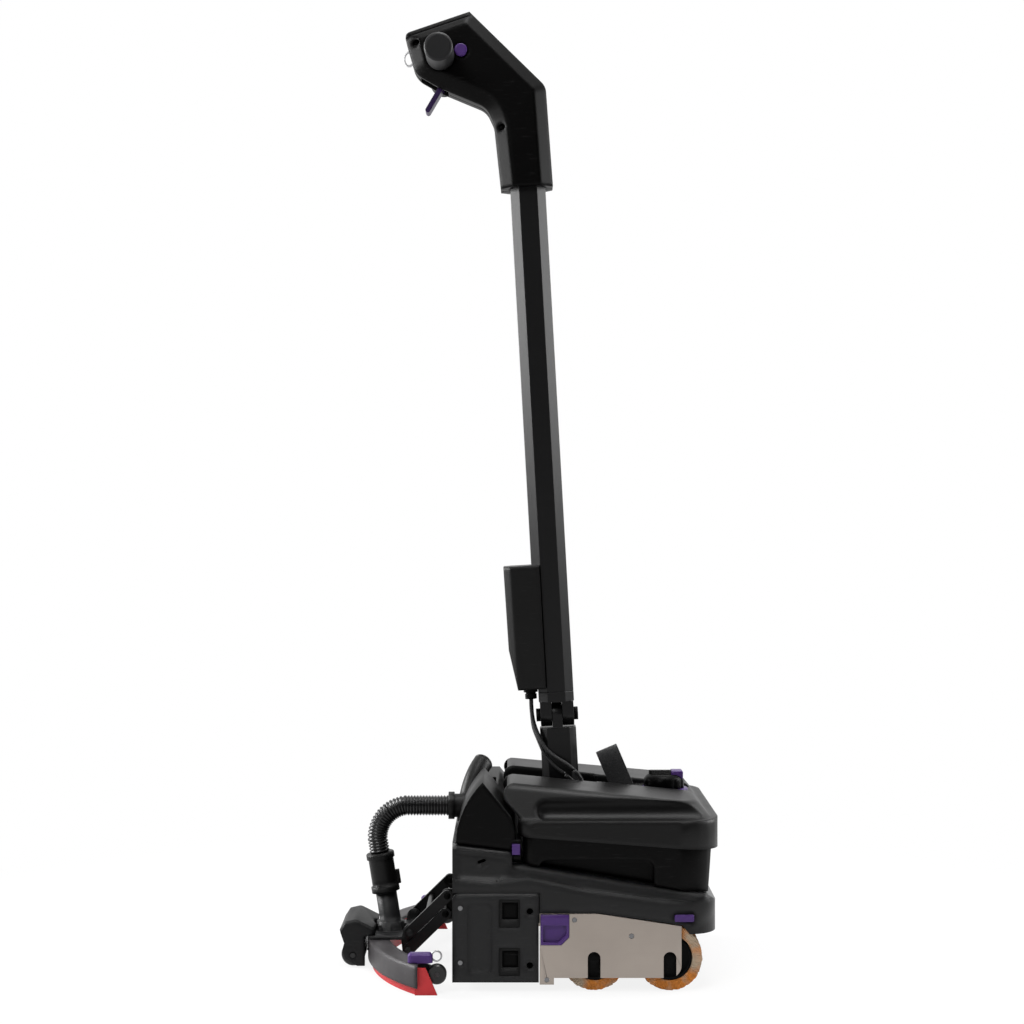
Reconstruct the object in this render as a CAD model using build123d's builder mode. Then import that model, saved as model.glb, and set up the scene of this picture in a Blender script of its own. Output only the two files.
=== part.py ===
from build123d import *
from math import atan2, cos, degrees, radians, sin, sqrt
import os

# Compact upright floor scrubber, in millimetres.
# +X points forwards to the brushes, +Y to the machine's left, +Z up. The origin is on the floor under the middle.
os.makedirs("parts", exist_ok=True)

# Overall reach and general values
half_length = 219.0  # the lid's front and the roller guard's back are this far from the origin
body_half = 150.0  # half width of shell, panels and tank rim
wall = 3.0  # moulded wall thickness
run_gap = 0.3  # clearance between pieces that move against each other
pin_gap = 0.05  # radial clearance of a pin in its bore
pin_r = 4.0  # hinge pin radius

# Chassis tub and shell
body_rear = -83.0
tub_front = 14.0
tub_floor = 10.0
shell_seam = 110.0  # top of the tub, where the shell sits on it
shell_nose = 215.0
shell_rear_top = 166.0
shell_step_x = -16.0  # where the shell's top drops in front of the rear cover
shell_step_top = 158.0
shell_deck_rear = 143.0  # height of the shell's top under the back of the tank
shell_deck_front = 107.0
shell_deck_end = 204.0
shell_chamfer = 8.0
shell_plate_line = 88.0  # lower edge of the shell above the brush plates
shell_nose_drop = 64.0
plate_slope = 14.0  # fall of the shell's lower edge along the brush plate
nose_corner_r = 34.0
panel_t = 4.0  # side panel thickness
panel_holes_x = 4.0
panel_hole_r = 3.7
panel_hole_low = 29.0
panel_hole_pitch = 60.5
plate_t = 3.0  # stainless plate thickness
deck_z = 79.0  # underside of the brush roof
latch_length = 32.0
latch_height = 35.0
latch_cut = 9.0
latch_t = 7.0
button_x = shell_nose - 38.0  # front button, in the shell's right side
button_z = 82.0
button_length = 22.0
button_height = 8.0
button_depth = 8.0
button_proud = 1.5
release_x = -50.0  # small tool slot in the shell's right side
release_z = 145.5
release_length = 9.5
release_height = 3.6
release_tilt = 20.0
bulkhead_y = body_half - 32.0  # inner face of the drive bulkhead

# Brushes and their drive
brush_r = 37.0
brush_rear_x = 76.0
brush_front_x = 161.0
brush_core_r = 26.0
brush_shaft_r = 7.0
bristle_rows = 10
bristles_per_row = 20
bristle_side = 2.6
brush_pulley_r = 16.0
motor_pulley_r = 12.0
motor_x = -30.0
motor_z = 58.0
motor_r = 29.0
motor_length = 120.0
motor_shaft_r = 5.0
belt_t = 2.0
belt_width = 8.0
belt_gap = 2.0  # between the two belts' planes

# Tank and lid
rim_rear = -9.0
rim_top = 190.0
rim_bottom_rear = 173.0
rim_bottom_front = 156.0
rim_corner_r = 46.0
tank_inset = 6.0
tank_clear = 1.0  # gap between the tank's floor and the shell's deck
slot_half = 36.0  # half width of the slot that straddles the mast foot
slot_front = 84.0
lid_top = 232.0
lid_front_top = 172.0
lobe_rear = -52.0
cap_x = half_length - 53.0
cap_r = 24.0
cap_seat = 203.0
cap_height = 25.0
strap_x = cap_x - 45.0
strap_width = 27.0
strap_t = 2.6

# Mast, leaning back about the pitch pivot
mast_lean = 3.2
pitch_x = 45.3
pitch_z = 165.0
roll_w = 130.0  # distance from pitch pivot to roll pivot, along the mast
mast_half = 21.0
mast_chamfer = 10.5
mast_wall = 2.5
mast_start = 158.0
mast_end = 772.0
fork_half = 20.0
tongue_half = 6.0
knuckle_r = 14.0

# Handle
head_half = 31.0
head_chamfer = 15.0
grip_u = -95.0
grip_w = 918.5
grip_r = 16.7
grip_reach = 98.0
grip_droop = 4.0

# Squeegee and lift arms
squeegee_half = 175.0
bow_r = 262.0
bow_rear = 31.0 - half_length
carrier_t = 5.0
carrier_top = 34.0
carrier_bottom = 9.0
blade_t = 3.0
arm_top_x = -92.0
arm_top_z = 87.0
arm_run = -44.0
arm_fall = -43.0
arm_pitch_x = -2.0
arm_pitch_z = -21.0
arm_y = 50.0
arm_t = 5.0
arm_half = 5.5
pipe_x = 57.5 - half_length
pipe_z = 47.0
pipe_tilt = 9.0
pipe_r = 12.5
pipe_rise = 36.0
cuff_rise = 47.0
hose_r = 12.0
hose_root_r = 10.2
hose_bore_r = 8.8
hose_ribs = 26
hose_end_run = 13.0
coupling_x = -92.0
coupling_z = 185.0
roller_r = 14.0
roller_x = 15.5 - half_length
roller_z = 15.0
roller_half = 35.0


def side_plane(y):
    """Sketch plane across the machine at width y: sketch x is X and sketch y is Z."""
    return Plane.XZ.offset(-y)


def level(z):
    """Sketch plane parallel to the floor at height z."""
    return Plane.XY.offset(z)


lean_sin = sin(radians(mast_lean))
lean_cos = cos(radians(mast_lean))
pitch_point = (pitch_x, 0, pitch_z)


def mast_section(w):
    """Plane square to the mast, w along it from the pitch pivot: sketch x forwards, sketch y to the left."""
    return Plane(pitch_point, x_dir=(lean_cos, 0, lean_sin), z_dir=(-lean_sin, 0, lean_cos)).offset(w)


def mast_side(y):
    """Plane along the mast at width y: sketch x forwards, sketch y up the mast, normal to the right."""
    return Plane(pitch_point, x_dir=(lean_cos, 0, lean_sin), z_dir=(0, -1, 0)).offset(-y)


def save(piece, name):
    """Labels a finished piece and writes its STEP file."""
    piece.part.label = name
    export_step(piece.part, f"parts/{name}.step")


# Chassis tub with the brush roof and the drive bulkhead
panel_face = body_half - panel_t
plate_face = body_half - plate_t
deck_top = deck_z + wall
roof_front = brush_front_x + brush_r + 5.0
plate_front = brush_front_x + 13.0
plate_knee = brush_rear_x + 4.0
plate_rear = tub_front + 1.0
latch_x = plate_rear + 1.0
bulkhead_far = bulkhead_y + wall
drive_slot_top = motor_z + motor_pulley_r + belt_t + 4.0

arm_tops = ((arm_top_x, arm_top_z), (arm_top_x + arm_pitch_x, arm_top_z + arm_pitch_z))
arm_feet = tuple((x + arm_run, z + arm_fall) for x, z in arm_tops)
arm_near = arm_y - arm_t / 2  # inner face of a lift arm
arm_in = arm_near - run_gap  # outer face of the ears beside it

with BuildPart() as base_frame:
    with BuildSketch(level(tub_floor)):
        with Locations(((body_rear + tub_front) / 2, 0)):
            Rectangle(tub_front - body_rear, 2 * panel_face)
    extrude(amount=shell_seam - tub_floor)
    with BuildSketch(level(tub_floor + wall)):
        with Locations(((body_rear + tub_front) / 2, 0)):
            Rectangle(tub_front - body_rear - 2 * wall, 2 * (panel_face - wall))
    extrude(amount=shell_seam, mode=Mode.SUBTRACT)
    fillet(base_frame.edges().filter_by(Axis.Y).group_by(Axis.Z)[0].sort_by(Axis.X)[0], 8.0)
    with BuildSketch(level(deck_z)) as roof_plan:
        with Locations(((tub_front + roof_front + wall) / 2, 0)):
            Rectangle(roof_front + wall - tub_front, 2 * plate_face)
        fillet(roof_plan.vertices().group_by(Axis.X)[-1], nose_corner_r)
        with Locations((latch_x + latch_length / 2, -plate_face)):
            Rectangle(latch_length + 2.0, 2 * latch_t, mode=Mode.SUBTRACT)
        with Locations((button_x, -plate_face)):
            Rectangle(button_length + 2.0, 4 * button_depth, mode=Mode.SUBTRACT)
    extrude(amount=wall)
    with BuildSketch(level(shell_nose_drop + 2.0)):
        with Locations((roof_front + wall / 2, 0)):
            Rectangle(wall, 2 * (plate_face - nose_corner_r))
    extrude(amount=deck_z - shell_nose_drop - 2.0)
    with BuildSketch(side_plane(bulkhead_far)):
        with BuildLine():
            Polyline(
                (body_rear + wall / 2, tub_floor + wall / 2),
                (tub_front, tub_floor + wall / 2),
                (tub_front, 18.0),
                (roof_front - 12.0, 18.0),
                (roof_front + wall / 2, 40.0),
                (roof_front + wall / 2, deck_z + wall / 2),
                (body_rear + wall / 2, deck_z + wall / 2),
                close=True,
            )
        make_face()
    extrude(amount=wall)
    with BuildSketch(side_plane(bulkhead_far)):
        for x in (brush_rear_x, brush_front_x):
            with Locations((x, brush_r)):
                Circle(brush_shaft_r + pin_gap)
        with Locations((motor_x, motor_z)):
            Circle(motor_shaft_r + 3.0)
    extrude(amount=wall, mode=Mode.SUBTRACT)
    with BuildSketch(side_plane(body_half)):
        with Locations(*[(panel_holes_x, panel_hole_low + n * panel_hole_pitch) for n in (0, 1)]):
            Circle(panel_hole_r)
    extrude(amount=2 * body_half, mode=Mode.SUBTRACT)
    for near in (arm_in, -arm_in + arm_t):
        with BuildSketch(side_plane(near)):
            with BuildLine():
                Polyline((body_rear + 1.0, arm_top_z + 7.0), (arm_top_x, arm_top_z + 7.0),
                         (arm_top_x + arm_pitch_x, arm_top_z + arm_pitch_z - 7.0),
                         (body_rear + 1.0, arm_top_z + arm_pitch_z - 7.0), close=True)
            make_face()
            with Locations(*arm_tops):
                Circle(7.0)
                Circle(pin_r + pin_gap, mode=Mode.SUBTRACT)
        extrude(amount=arm_t)
    with BuildSketch(Plane.YZ.offset(tub_front - wall)):
        with Locations(((bulkhead_far + panel_face - wall) / 2, (tub_floor + wall + drive_slot_top) / 2)):
            Rectangle(panel_face - wall - bulkhead_far, drive_slot_top - tub_floor - wall)
    extrude(amount=wall, mode=Mode.SUBTRACT)
save(base_frame, "base_frame")


# Moulded cover over the tub and the brush roof
def deck_height(x):
    """Height of the shell's sloping deck under the tank."""
    share = (x - shell_step_x) / (shell_deck_end - shell_step_x)
    return shell_deck_rear + share * (shell_deck_front - shell_deck_rear)


with BuildPart() as shell_inside:
    with BuildSketch(side_plane(body_half - wall)):
        with BuildLine():
            Polyline(
                (body_rear + wall, 0),
                (body_rear + wall, shell_rear_top - wall),
                (shell_step_x - wall, shell_step_top - wall),
                (shell_step_x - wall, deck_height(shell_step_x) - wall),
                (shell_deck_end - wall, shell_deck_front - wall),
                (shell_nose - wall, shell_deck_front - 9.0 - wall),
                (shell_nose - wall, 0),
                close=True,
            )
        make_face()
    extrude(amount=2 * (body_half - wall))
    chamfer(shell_inside.faces().filter_by(lambda f: f.normal_at().Z > 0.5).edges().filter_by(
        lambda e: abs(abs(e.center().Y) - (body_half - wall)) < 0.01), shell_chamfer)
    with BuildSketch(level(0)) as inside_plan:
        with Locations(((body_rear + shell_nose) / 2, 0)):
            Rectangle(shell_nose - body_rear - 2 * wall, 2 * (body_half - wall))
        fillet(inside_plan.vertices().group_by(Axis.X)[-1], nose_corner_r - wall)
    extrude(amount=2 * shell_rear_top, mode=Mode.INTERSECT)

# The upper part of each side lies a little deeper, above a crease
crease_depth = 1.6
crease_points = [(body_rear - 1.0, 126.0), (-38.0, 122.5), (3.0, 128.0), (63.0, 114.5), (150.0, 102.5),
                 (shell_nose + 1.0, 98.0)]
with BuildPart() as upper_shell:
    with BuildSketch(side_plane(body_half)):
        with BuildLine():
            Polyline(
                (body_rear, shell_seam),
                (body_rear, shell_rear_top),
                (shell_step_x, shell_step_top),
                (shell_step_x, deck_height(shell_step_x)),
                (shell_deck_end, shell_deck_front),
                (shell_nose, shell_deck_front - 9.0),
                (shell_nose, shell_nose_drop),
                (plate_front + 9.0, shell_nose_drop),
                (plate_front + 1.0, shell_plate_line - plate_slope),
                (plate_knee, shell_plate_line),
                (tub_front + 1.0, shell_plate_line),
                (tub_front + 1.0, shell_seam),
                close=True,
            )
        make_face()
    extrude(amount=2 * body_half)
    chamfer(upper_shell.faces().filter_by(lambda f: f.normal_at().Z > 0.5).edges().filter_by(
        lambda e: abs(abs(e.center().Y) - body_half) < 0.01), shell_chamfer)
    with BuildSketch(level(0)) as shell_plan:
        with Locations(((body_rear + shell_nose) / 2, 0)):
            Rectangle(shell_nose - body_rear, 2 * body_half)
        fillet(shell_plan.vertices().group_by(Axis.X)[-1], nose_corner_r)
    extrude(amount=2 * shell_rear_top, mode=Mode.INTERSECT)
    add(shell_inside.part, mode=Mode.SUBTRACT)
    for side in (-1, 1):
        with BuildSketch(side_plane(side * body_half)):
            with BuildLine():
                Polyline(*crease_points, (shell_nose + 1.0, shell_rear_top + 1.0),
                         (body_rear - 1.0, shell_rear_top + 1.0),
                         close=True)
            make_face()
        extrude(amount=side * crease_depth, mode=Mode.SUBTRACT)
    with BuildSketch(side_plane(-body_half)):
        with Locations((button_x, button_z)):
            RectangleRounded(button_length + 2 * run_gap, button_height + 2 * run_gap, 2.0 + run_gap)
        with Locations((release_x, release_z)):
            SlotOverall(release_length, release_height, rotation=release_tilt)
    extrude(amount=-2 * wall, mode=Mode.SUBTRACT)
save(upper_shell, "upper_shell")


# Rear side panels, with a shallow field, two square windows and two round holes
panel_top = shell_seam - 0.5
window_x = -19.0
window_side = 24.0
window_inner = 18.0
window_zs = (33.0, 87.0)
screw_x = -74.0
screw_zs = (32.0, 93.0)
screw_r = 2.6


def build_panel(side):
    """One rear side panel: side -1 is the right one, +1 the left one."""
    face = side_plane(side * body_half)
    inward = side * panel_t
    with BuildPart() as panel:
        with BuildSketch(face) as outline:
            with Locations(((body_rear + tub_front) / 2, (tub_floor + panel_top) / 2)):
                Rectangle(tub_front - body_rear, panel_top - tub_floor)
            fillet(outline.vertices().group_by(Axis.Z)[0].sort_by(Axis.X)[0], 8.0)
        extrude(amount=inward)
        with BuildSketch(face):
            with Locations((-52.0, (tub_floor + panel_top) / 2)):
                RectangleRounded(28.0, 78.0, 6.0)
        extrude(amount=0.3 * inward, mode=Mode.SUBTRACT)
        with BuildSketch(face):
            with Locations(*[(window_x, z) for z in window_zs]):
                RectangleRounded(window_side, window_side + 8.0, 2.0)
        extrude(amount=0.4 * inward, mode=Mode.SUBTRACT)
        with BuildSketch(face):
            with Locations(*[(window_x + 1.0, z + 3.0) for z in window_zs]):
                Rectangle(window_inner, window_inner + 1.0)
            with Locations(*[(panel_holes_x, panel_hole_low + n * panel_hole_pitch) for n in (0, 1)]):
                Circle(panel_hole_r)
            with Locations(*[(screw_x, z) for z in screw_zs]):
                Circle(screw_r + 0.2)
        extrude(amount=inward, mode=Mode.SUBTRACT)
    return panel


panel_right = build_panel(-1)
save(panel_right, "side_panel_right")
panel_left = build_panel(1)
save(panel_left, "side_panel_left")


# Stainless brush plates: the right one has open slots for the brush shafts
plate_top = shell_plate_line - 1.0
plate_bottom = 15.0
plate_tab = 31.0
slot_width = 2 * brush_shaft_r + 0.2
plate_screws = ((54.0, 80.0), (118.0, 62.0), (23.0, 13.0))


def latch_points(grow):
    """Outline of the brush latch, grown by a clearance."""
    left, right = latch_x - grow, latch_x + latch_length + grow
    top, low = plate_top - 0.6 + grow, plate_top - latch_height - grow
    return ((left, low), (right - latch_cut, low), (right, low + latch_cut), (right, top), (left, top))


def build_plate(side, open_slots):
    """One stainless side plate; open_slots cuts the brush shaft slots and the latch window."""
    with BuildPart() as plate:
        with BuildSketch(side_plane(side * body_half)) as outline:
            with BuildLine():
                Polyline(
                    (plate_rear, 7.6),
                    (plate_tab, 7.6),
                    (plate_tab, plate_bottom),
                    (plate_front, plate_bottom),
                    (plate_front, plate_top - plate_slope),
                    (plate_knee, plate_top),
                    (plate_rear, plate_top),
                    close=True,
                )
            make_face()
            high_corner = (plate_front, side * body_half, plate_top - plate_slope)
            fillet(outline.vertices().sort_by_distance(high_corner)[0], 14.0)
            if open_slots:
                for x in (brush_rear_x, brush_front_x):
                    with Locations((x, brush_r)):
                        Circle(slot_width / 2, mode=Mode.SUBTRACT)
                    with Locations((x, brush_r / 2)):
                        Rectangle(slot_width, brush_r, mode=Mode.SUBTRACT)
                with BuildLine():
                    Polyline(*latch_points(run_gap), close=True)
                make_face(mode=Mode.SUBTRACT)
            with Locations(*plate_screws):
                Circle(screw_r + 0.2, mode=Mode.SUBTRACT)
        extrude(amount=side * plate_t)
    return plate


plate_right = build_plate(-1, True)
save(plate_right, "brush_plate_right")
plate_left = build_plate(1, False)
save(plate_left, "brush_plate_left")

# Countersunk screws of panels and plates, one group
with BuildPart() as chassis_screws:
    for side in (-1, 1):
        for points, depth in (([(screw_x, z) for z in screw_zs], panel_t), (plate_screws, plate_t)):
            with BuildSketch(side_plane(side * body_half)):
                with Locations(*points):
                    Circle(screw_r)
            extrude(amount=side * depth)
save(chassis_screws, "chassis_screws")

# Brush latch: a purple paddle with a finger pocket, hinged along its top edge
with BuildPart() as brush_latch:
    with BuildSketch(side_plane(-body_half - 1.0)):
        with BuildLine():
            Polyline(*latch_points(0), close=True)
        make_face()
    extrude(amount=-latch_t)
    fillet(brush_latch.edges().filter_by(Axis.X).group_by(Axis.Z)[-1], latch_t / 2 - 0.01)
    with BuildSketch(side_plane(-body_half - 1.0)):
        with BuildLine():
            Polyline(*latch_points(-3.0), close=True)
        make_face()
        with Locations((latch_x + latch_length / 2, plate_top)):
            Rectangle(latch_length, 26.0, mode=Mode.SUBTRACT)
    extrude(amount=-latch_t + 2.5, mode=Mode.SUBTRACT)
save(brush_latch, "brush_latch")

# Brush roller cores: tube, end hub, shaft stub in the plate slot, and the drive pulley
brush_end = -plate_face + run_gap
brush_far = bulkhead_y - run_gap
belt_plane_1 = bulkhead_far + 3.0
belt_plane_2 = belt_plane_1 + belt_width + belt_gap
belt_plane_end = belt_plane_2 + belt_width


def build_pulley(x, z, radius, start, end):
    """Flanged belt pulley about the Y line at (x, z)."""
    with BuildPart() as pulley:
        for near, far, extra in ((start, end, 0), (start - 1.0, start, belt_t + 1.0),
                                 (end, end + 1.0, belt_t + 1.0)):
            with BuildSketch(side_plane(far)):
                with Locations((x, z)):
                    Circle(radius + extra)
            extrude(amount=far - near)
    return pulley.part


def build_core(x, pulley_end):
    """Brush core with its shaft and drive pulley."""
    drive = build_pulley(x, brush_r, brush_pulley_r, belt_plane_1, pulley_end)
    with BuildPart() as core:
        for near, far, radius in (
            (brush_end, brush_far, brush_core_r - 1.5),
            (-body_half + 1.0, brush_end, brush_shaft_r - 0.2),
            (brush_far, pulley_end + 1.0, brush_shaft_r),
        ):
            with BuildSketch(side_plane(far)):
                with Locations((x, brush_r)):
                    Circle(radius)
            extrude(amount=far - near)
        with BuildSketch(side_plane(brush_end)):
            with Locations((x, brush_r)):
                Circle(brush_core_r - 4.5)
                Circle(brush_shaft_r + 4.0, mode=Mode.SUBTRACT)
        extrude(amount=-2.0, mode=Mode.SUBTRACT)
        add(drive)
    return core


core_front = build_core(brush_front_x, belt_plane_1 + belt_width)
save(core_front, "brush_core_front")
core_rear = build_core(brush_rear_x, belt_plane_end)
save(core_rear, "brush_core_rear")

# Bristles: rows of three-sided strands that spiral round a backing sleeve
row_pitch = (brush_far - brush_end) / bristle_rows
row_twist = 360 / bristles_per_row / 4
strand_root = brush_core_r - 0.7
strand_tip = brush_r - 0.1


def strand_plane(x, row, place):
    """Plane at a strand's root, facing out of the brush."""
    turn = radians(place * 360 / bristles_per_row + row * row_twist)
    out = (sin(turn), 0, cos(turn))
    y = brush_end + (row + 0.5) * row_pitch
    return Plane((x + strand_root * out[0], y, brush_r + strand_root * out[2]), x_dir=(0, 1, 0), z_dir=out)


def build_bristles(x):
    """Backing sleeve with all its strands, in one fuse."""
    with BuildPart() as bristles:
        with BuildSketch(side_plane(brush_far)):
            with Locations((x, brush_r)):
                Circle(brush_core_r)
                Circle(brush_core_r - 1.4, mode=Mode.SUBTRACT)
        extrude(amount=brush_far - brush_end)
        roots = [strand_plane(x, row, n) for row in range(bristle_rows) for n in range(bristles_per_row)]
        with BuildSketch(*roots):
            RegularPolygon(bristle_side, 3)
        extrude(amount=strand_tip - strand_root)
    return bristles


bristles_front = build_bristles(brush_front_x)
save(bristles_front, "bristles_front")
bristles_rear = build_bristles(brush_rear_x)
save(bristles_rear, "bristles_rear")

# Brush motor on the bulkhead, its pulley, and the two belts
with BuildPart() as brush_motor:
    with BuildSketch(side_plane(bulkhead_y)):
        with Locations((motor_x, motor_z)):
            Circle(motor_r)
    extrude(amount=motor_length)
    fillet(brush_motor.faces().sort_by(Axis.Y)[0].edges(), 6.0)
    with BuildSketch(side_plane(bulkhead_y)):
        with Locations((motor_x, motor_z)):
            RectangleRounded(2 * motor_r + 8.0, 2 * motor_r - 14.0, 6.0)
    extrude(amount=6.0)
    with BuildSketch(side_plane(bulkhead_y)):
        with Locations((motor_x, motor_z)):
            Circle(motor_shaft_r + pin_gap)
    extrude(amount=20.0, mode=Mode.SUBTRACT)
save(brush_motor, "brush_motor")

motor_drive = build_pulley(motor_x, motor_z, motor_pulley_r, belt_plane_2, belt_plane_end)
with BuildPart() as motor_pulley:
    with BuildSketch(side_plane(belt_plane_end + 1.0)):
        with Locations((motor_x, motor_z)):
            Circle(motor_shaft_r)
    extrude(amount=belt_plane_end + 1.0 - bulkhead_y + 19.0)
    add(motor_drive)
save(motor_pulley, "motor_pulley")


def build_belt(start, first, second):
    """Flat belt round two pulleys, each given as (x, z, radius)."""
    run = sqrt((second[0] - first[0]) ** 2 + (second[1] - first[1]) ** 2)
    slope = atan2(second[1] - first[1], second[0] - first[0])
    wrap = atan2(sqrt(run ** 2 - (first[2] - second[2]) ** 2), first[2] - second[2])
    with BuildPart() as belt:
        for extra, mode in ((belt_t + run_gap, Mode.ADD), (run_gap, Mode.SUBTRACT)):
            ends = []
            for x, z, radius in (first, second):
                for turn in (slope + wrap, slope - wrap):
                    ends.append((x + (radius + extra) * cos(turn), z + (radius + extra) * sin(turn)))
            with BuildSketch(side_plane(start + belt_width)):
                with BuildLine():
                    Polyline(ends[0], ends[2], ends[3], ends[1], close=True)
                make_face()
                for x, z, radius in (first, second):
                    with Locations((x, z)):
                        Circle(radius + extra)
            extrude(amount=belt_width, mode=mode)
    return belt.part


rear_pulley = (brush_rear_x, brush_r, brush_pulley_r)
front_pulley = (brush_front_x, brush_r, brush_pulley_r)
drive_belt = build_belt(belt_plane_2, (motor_x, motor_z, motor_pulley_r), rear_pulley)
transfer_belt = build_belt(belt_plane_1, rear_pulley, front_pulley)
with BuildPart() as drive_belts:
    add(drive_belt)
    add(transfer_belt)
save(drive_belts, "drive_belts")

# Vacuum motor and solution pump, standing in the tub
vacuum_x = (body_rear + tub_front) / 2
vacuum_y = -88.0
vacuum_r = 42.0
vacuum_height = 92.0
with BuildPart() as vacuum_motor:
    with BuildSketch(level(tub_floor + wall)):
        with Locations((vacuum_x, vacuum_y)):
            Circle(vacuum_r)
    extrude(amount=0.45 * vacuum_height)
    with BuildSketch(level(tub_floor + wall + 0.45 * vacuum_height)):
        with Locations((vacuum_x, vacuum_y)):
            Circle(0.72 * vacuum_r)
    extrude(amount=0.55 * vacuum_height)
    fillet(vacuum_motor.faces().sort_by(Axis.Z)[-1].edges(), 8.0)
save(vacuum_motor, "vacuum_motor")

pump_x = -56.0
pump_y = bulkhead_y - motor_length - 22.0
with BuildPart() as solution_pump:
    with BuildSketch(level(tub_floor + wall)):
        with Locations((pump_x, pump_y)):
            RectangleRounded(30.0, 34.0, 4.0)
    extrude(amount=26.0)
    with BuildSketch(level(tub_floor + wall + 26.0)):
        with Locations((pump_x, pump_y)):
            Circle(12.0)
    extrude(amount=40.0)
    with BuildSketch(level(tub_floor + wall + 66.0)):
        with Locations((pump_x, pump_y)):
            Circle(4.0)
    extrude(amount=9.0)
save(solution_pump, "solution_pump")

# Front button, a purple slider that frees the brush plate
with BuildPart() as front_button:
    with BuildSketch(side_plane(-body_half - button_proud)):
        with Locations((button_x, button_z)):
            RectangleRounded(button_length, button_height, 2.0)
    extrude(amount=-button_depth)
    fillet(front_button.faces().sort_by(Axis.Y)[0].edges(), 0.8)
save(front_button, "front_button")

# Rear cover: two quarter-round cheeks over the vacuum, with a channel for the suction elbow
cover_half = body_half - 4.0
cover_rear = body_rear + 4.0
cover_apex_x = -49.0
cover_apex_z = 233.0
cover_far_z = 212.0  # the crest beyond the elbow is lower
cover_front_x = -17.0
cover_front_z = 194.0
cover_toe_x = -6.0
cover_toe_low = 147.0
cover_toe_top = 169.0
cover_bulge = 7.0
tank_latch_x = -11.5
tank_latch_z = 158.5
tank_latch_side = 9.0
tank_latch_depth = 12.0
tank_latch_proud = 1.5


def shell_top(x):
    """Height of the shell's rear top, which the cover sits on."""
    share = (x - body_rear) / (shell_step_x - body_rear)
    return shell_rear_top + share * (shell_step_top - shell_rear_top)


bulge_run = sqrt((cover_apex_x - cover_rear) ** 2 + (cover_apex_z - shell_rear_top) ** 2)
bulge_x = (cover_rear + cover_apex_x) / 2 - cover_bulge * (cover_apex_z - shell_rear_top) / bulge_run
bulge_z = (shell_rear_top + cover_apex_z) / 2 + cover_bulge * (cover_apex_x - cover_rear) / bulge_run
elbow_x = -70.0
elbow_r = 12.0
elbow_bore_r = 9.5
elbow_bend = 75.0
elbow_turn = 60.0
elbow_heading = 60.0
elbow_low = 167.0
elbow_top_y = elbow_bend * (1 - cos(radians(elbow_turn))) * sin(radians(elbow_heading))

with BuildPart() as cover_block:
    with BuildSketch(side_plane(cover_half)):
        with BuildLine():
            ThreePointArc((cover_rear, shell_top(cover_rear)), (bulge_x, bulge_z), (cover_apex_x, cover_apex_z))
            Polyline(
                (cover_apex_x, cover_apex_z),
                (cover_front_x, cover_front_z),
                (cover_front_x + 4.0, cover_front_z - 13.0),
                (cover_front_x + 4.0, cover_toe_top),
                (cover_toe_x, cover_toe_top),
                (cover_toe_x, cover_toe_low),
                (shell_step_x, cover_toe_low),
                (shell_step_x, shell_step_top),
                (cover_rear, shell_top(cover_rear)),
            )
        make_face()
    extrude(amount=2 * cover_half)

with BuildPart() as cover_far_top:
    add(cover_block.part)
    with BuildSketch(level(cover_far_z - wall)):
        with Locations((cover_apex_x, cover_half)):
            Rectangle(4 * wall - 4 * cover_rear, 2 * (cover_half - elbow_top_y))
    extrude(amount=wall, mode=Mode.INTERSECT)
far_top = cover_far_top.part

with BuildPart() as rear_cover:
    add(cover_block.part)
    with BuildSketch(side_plane(cover_half - wall)):
        with BuildLine():
            Polyline(
                (cover_rear + wall + 1.0, shell_seam),
                (cover_rear + wall + 1.0, shell_rear_top + 8.0),
                (bulge_x + wall + 2.0, bulge_z),
                (cover_apex_x, cover_apex_z - wall - 4.0),
                (cover_front_x - wall - 1.0, cover_front_z - 1.0),
                (shell_step_x - wall, shell_step_top),
                (shell_step_x - wall, shell_seam),
                close=True,
            )
        make_face()
    extrude(amount=2 * (cover_half - wall), mode=Mode.SUBTRACT)
    add(far_top)
    with BuildSketch(level(cover_far_z)):
        with Locations((cover_apex_x, cover_half)):
            Rectangle(4 * wall - 4 * cover_rear, 2 * (cover_half - elbow_top_y))
    extrude(amount=cover_apex_z, mode=Mode.SUBTRACT)
    with BuildSketch(level(shell_seam)):
        with Locations(((coupling_x + cover_apex_x + 14.0) / 2, (elbow_top_y - 2.0) / 2)):
            Rectangle(cover_apex_x + 14.0 - coupling_x, elbow_top_y + 2 * elbow_r + 8.0)
    extrude(amount=2 * shell_seam, mode=Mode.SUBTRACT)
    for side in (-1, 1):
        with BuildSketch(side_plane(side * cover_half)):
            with Locations((tank_latch_x, tank_latch_z)):
                Rectangle(tank_latch_side + 2 * run_gap, tank_latch_side + 3.0 + 2 * run_gap)
        extrude(amount=side * (tank_latch_depth + 4.0), mode=Mode.SUBTRACT)
save(rear_cover, "rear_cover")


def build_tank_latch(side):
    """Push catch that frees the tank, in the rear cover's toe."""
    with BuildPart() as catch:
        with BuildSketch(side_plane(side * (cover_half + tank_latch_proud))):
            with Locations((tank_latch_x, tank_latch_z)):
                Rectangle(tank_latch_side, tank_latch_side + 3.0)
        extrude(amount=side * tank_latch_depth)
    return catch


tank_latch_right = build_tank_latch(-1)
save(tank_latch_right, "tank_latch_right")
tank_latch_left = build_tank_latch(1)
save(tank_latch_left, "tank_latch_left")

# Suction elbow: a smooth bend from the left lobe down to the hose coupling
elbow_plane = Plane(
    (elbow_x, 0, elbow_low),
    x_dir=(cos(radians(elbow_heading)), sin(radians(elbow_heading)), 0),
    z_dir=(sin(radians(elbow_heading)), -cos(radians(elbow_heading)), 0),
)


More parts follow.
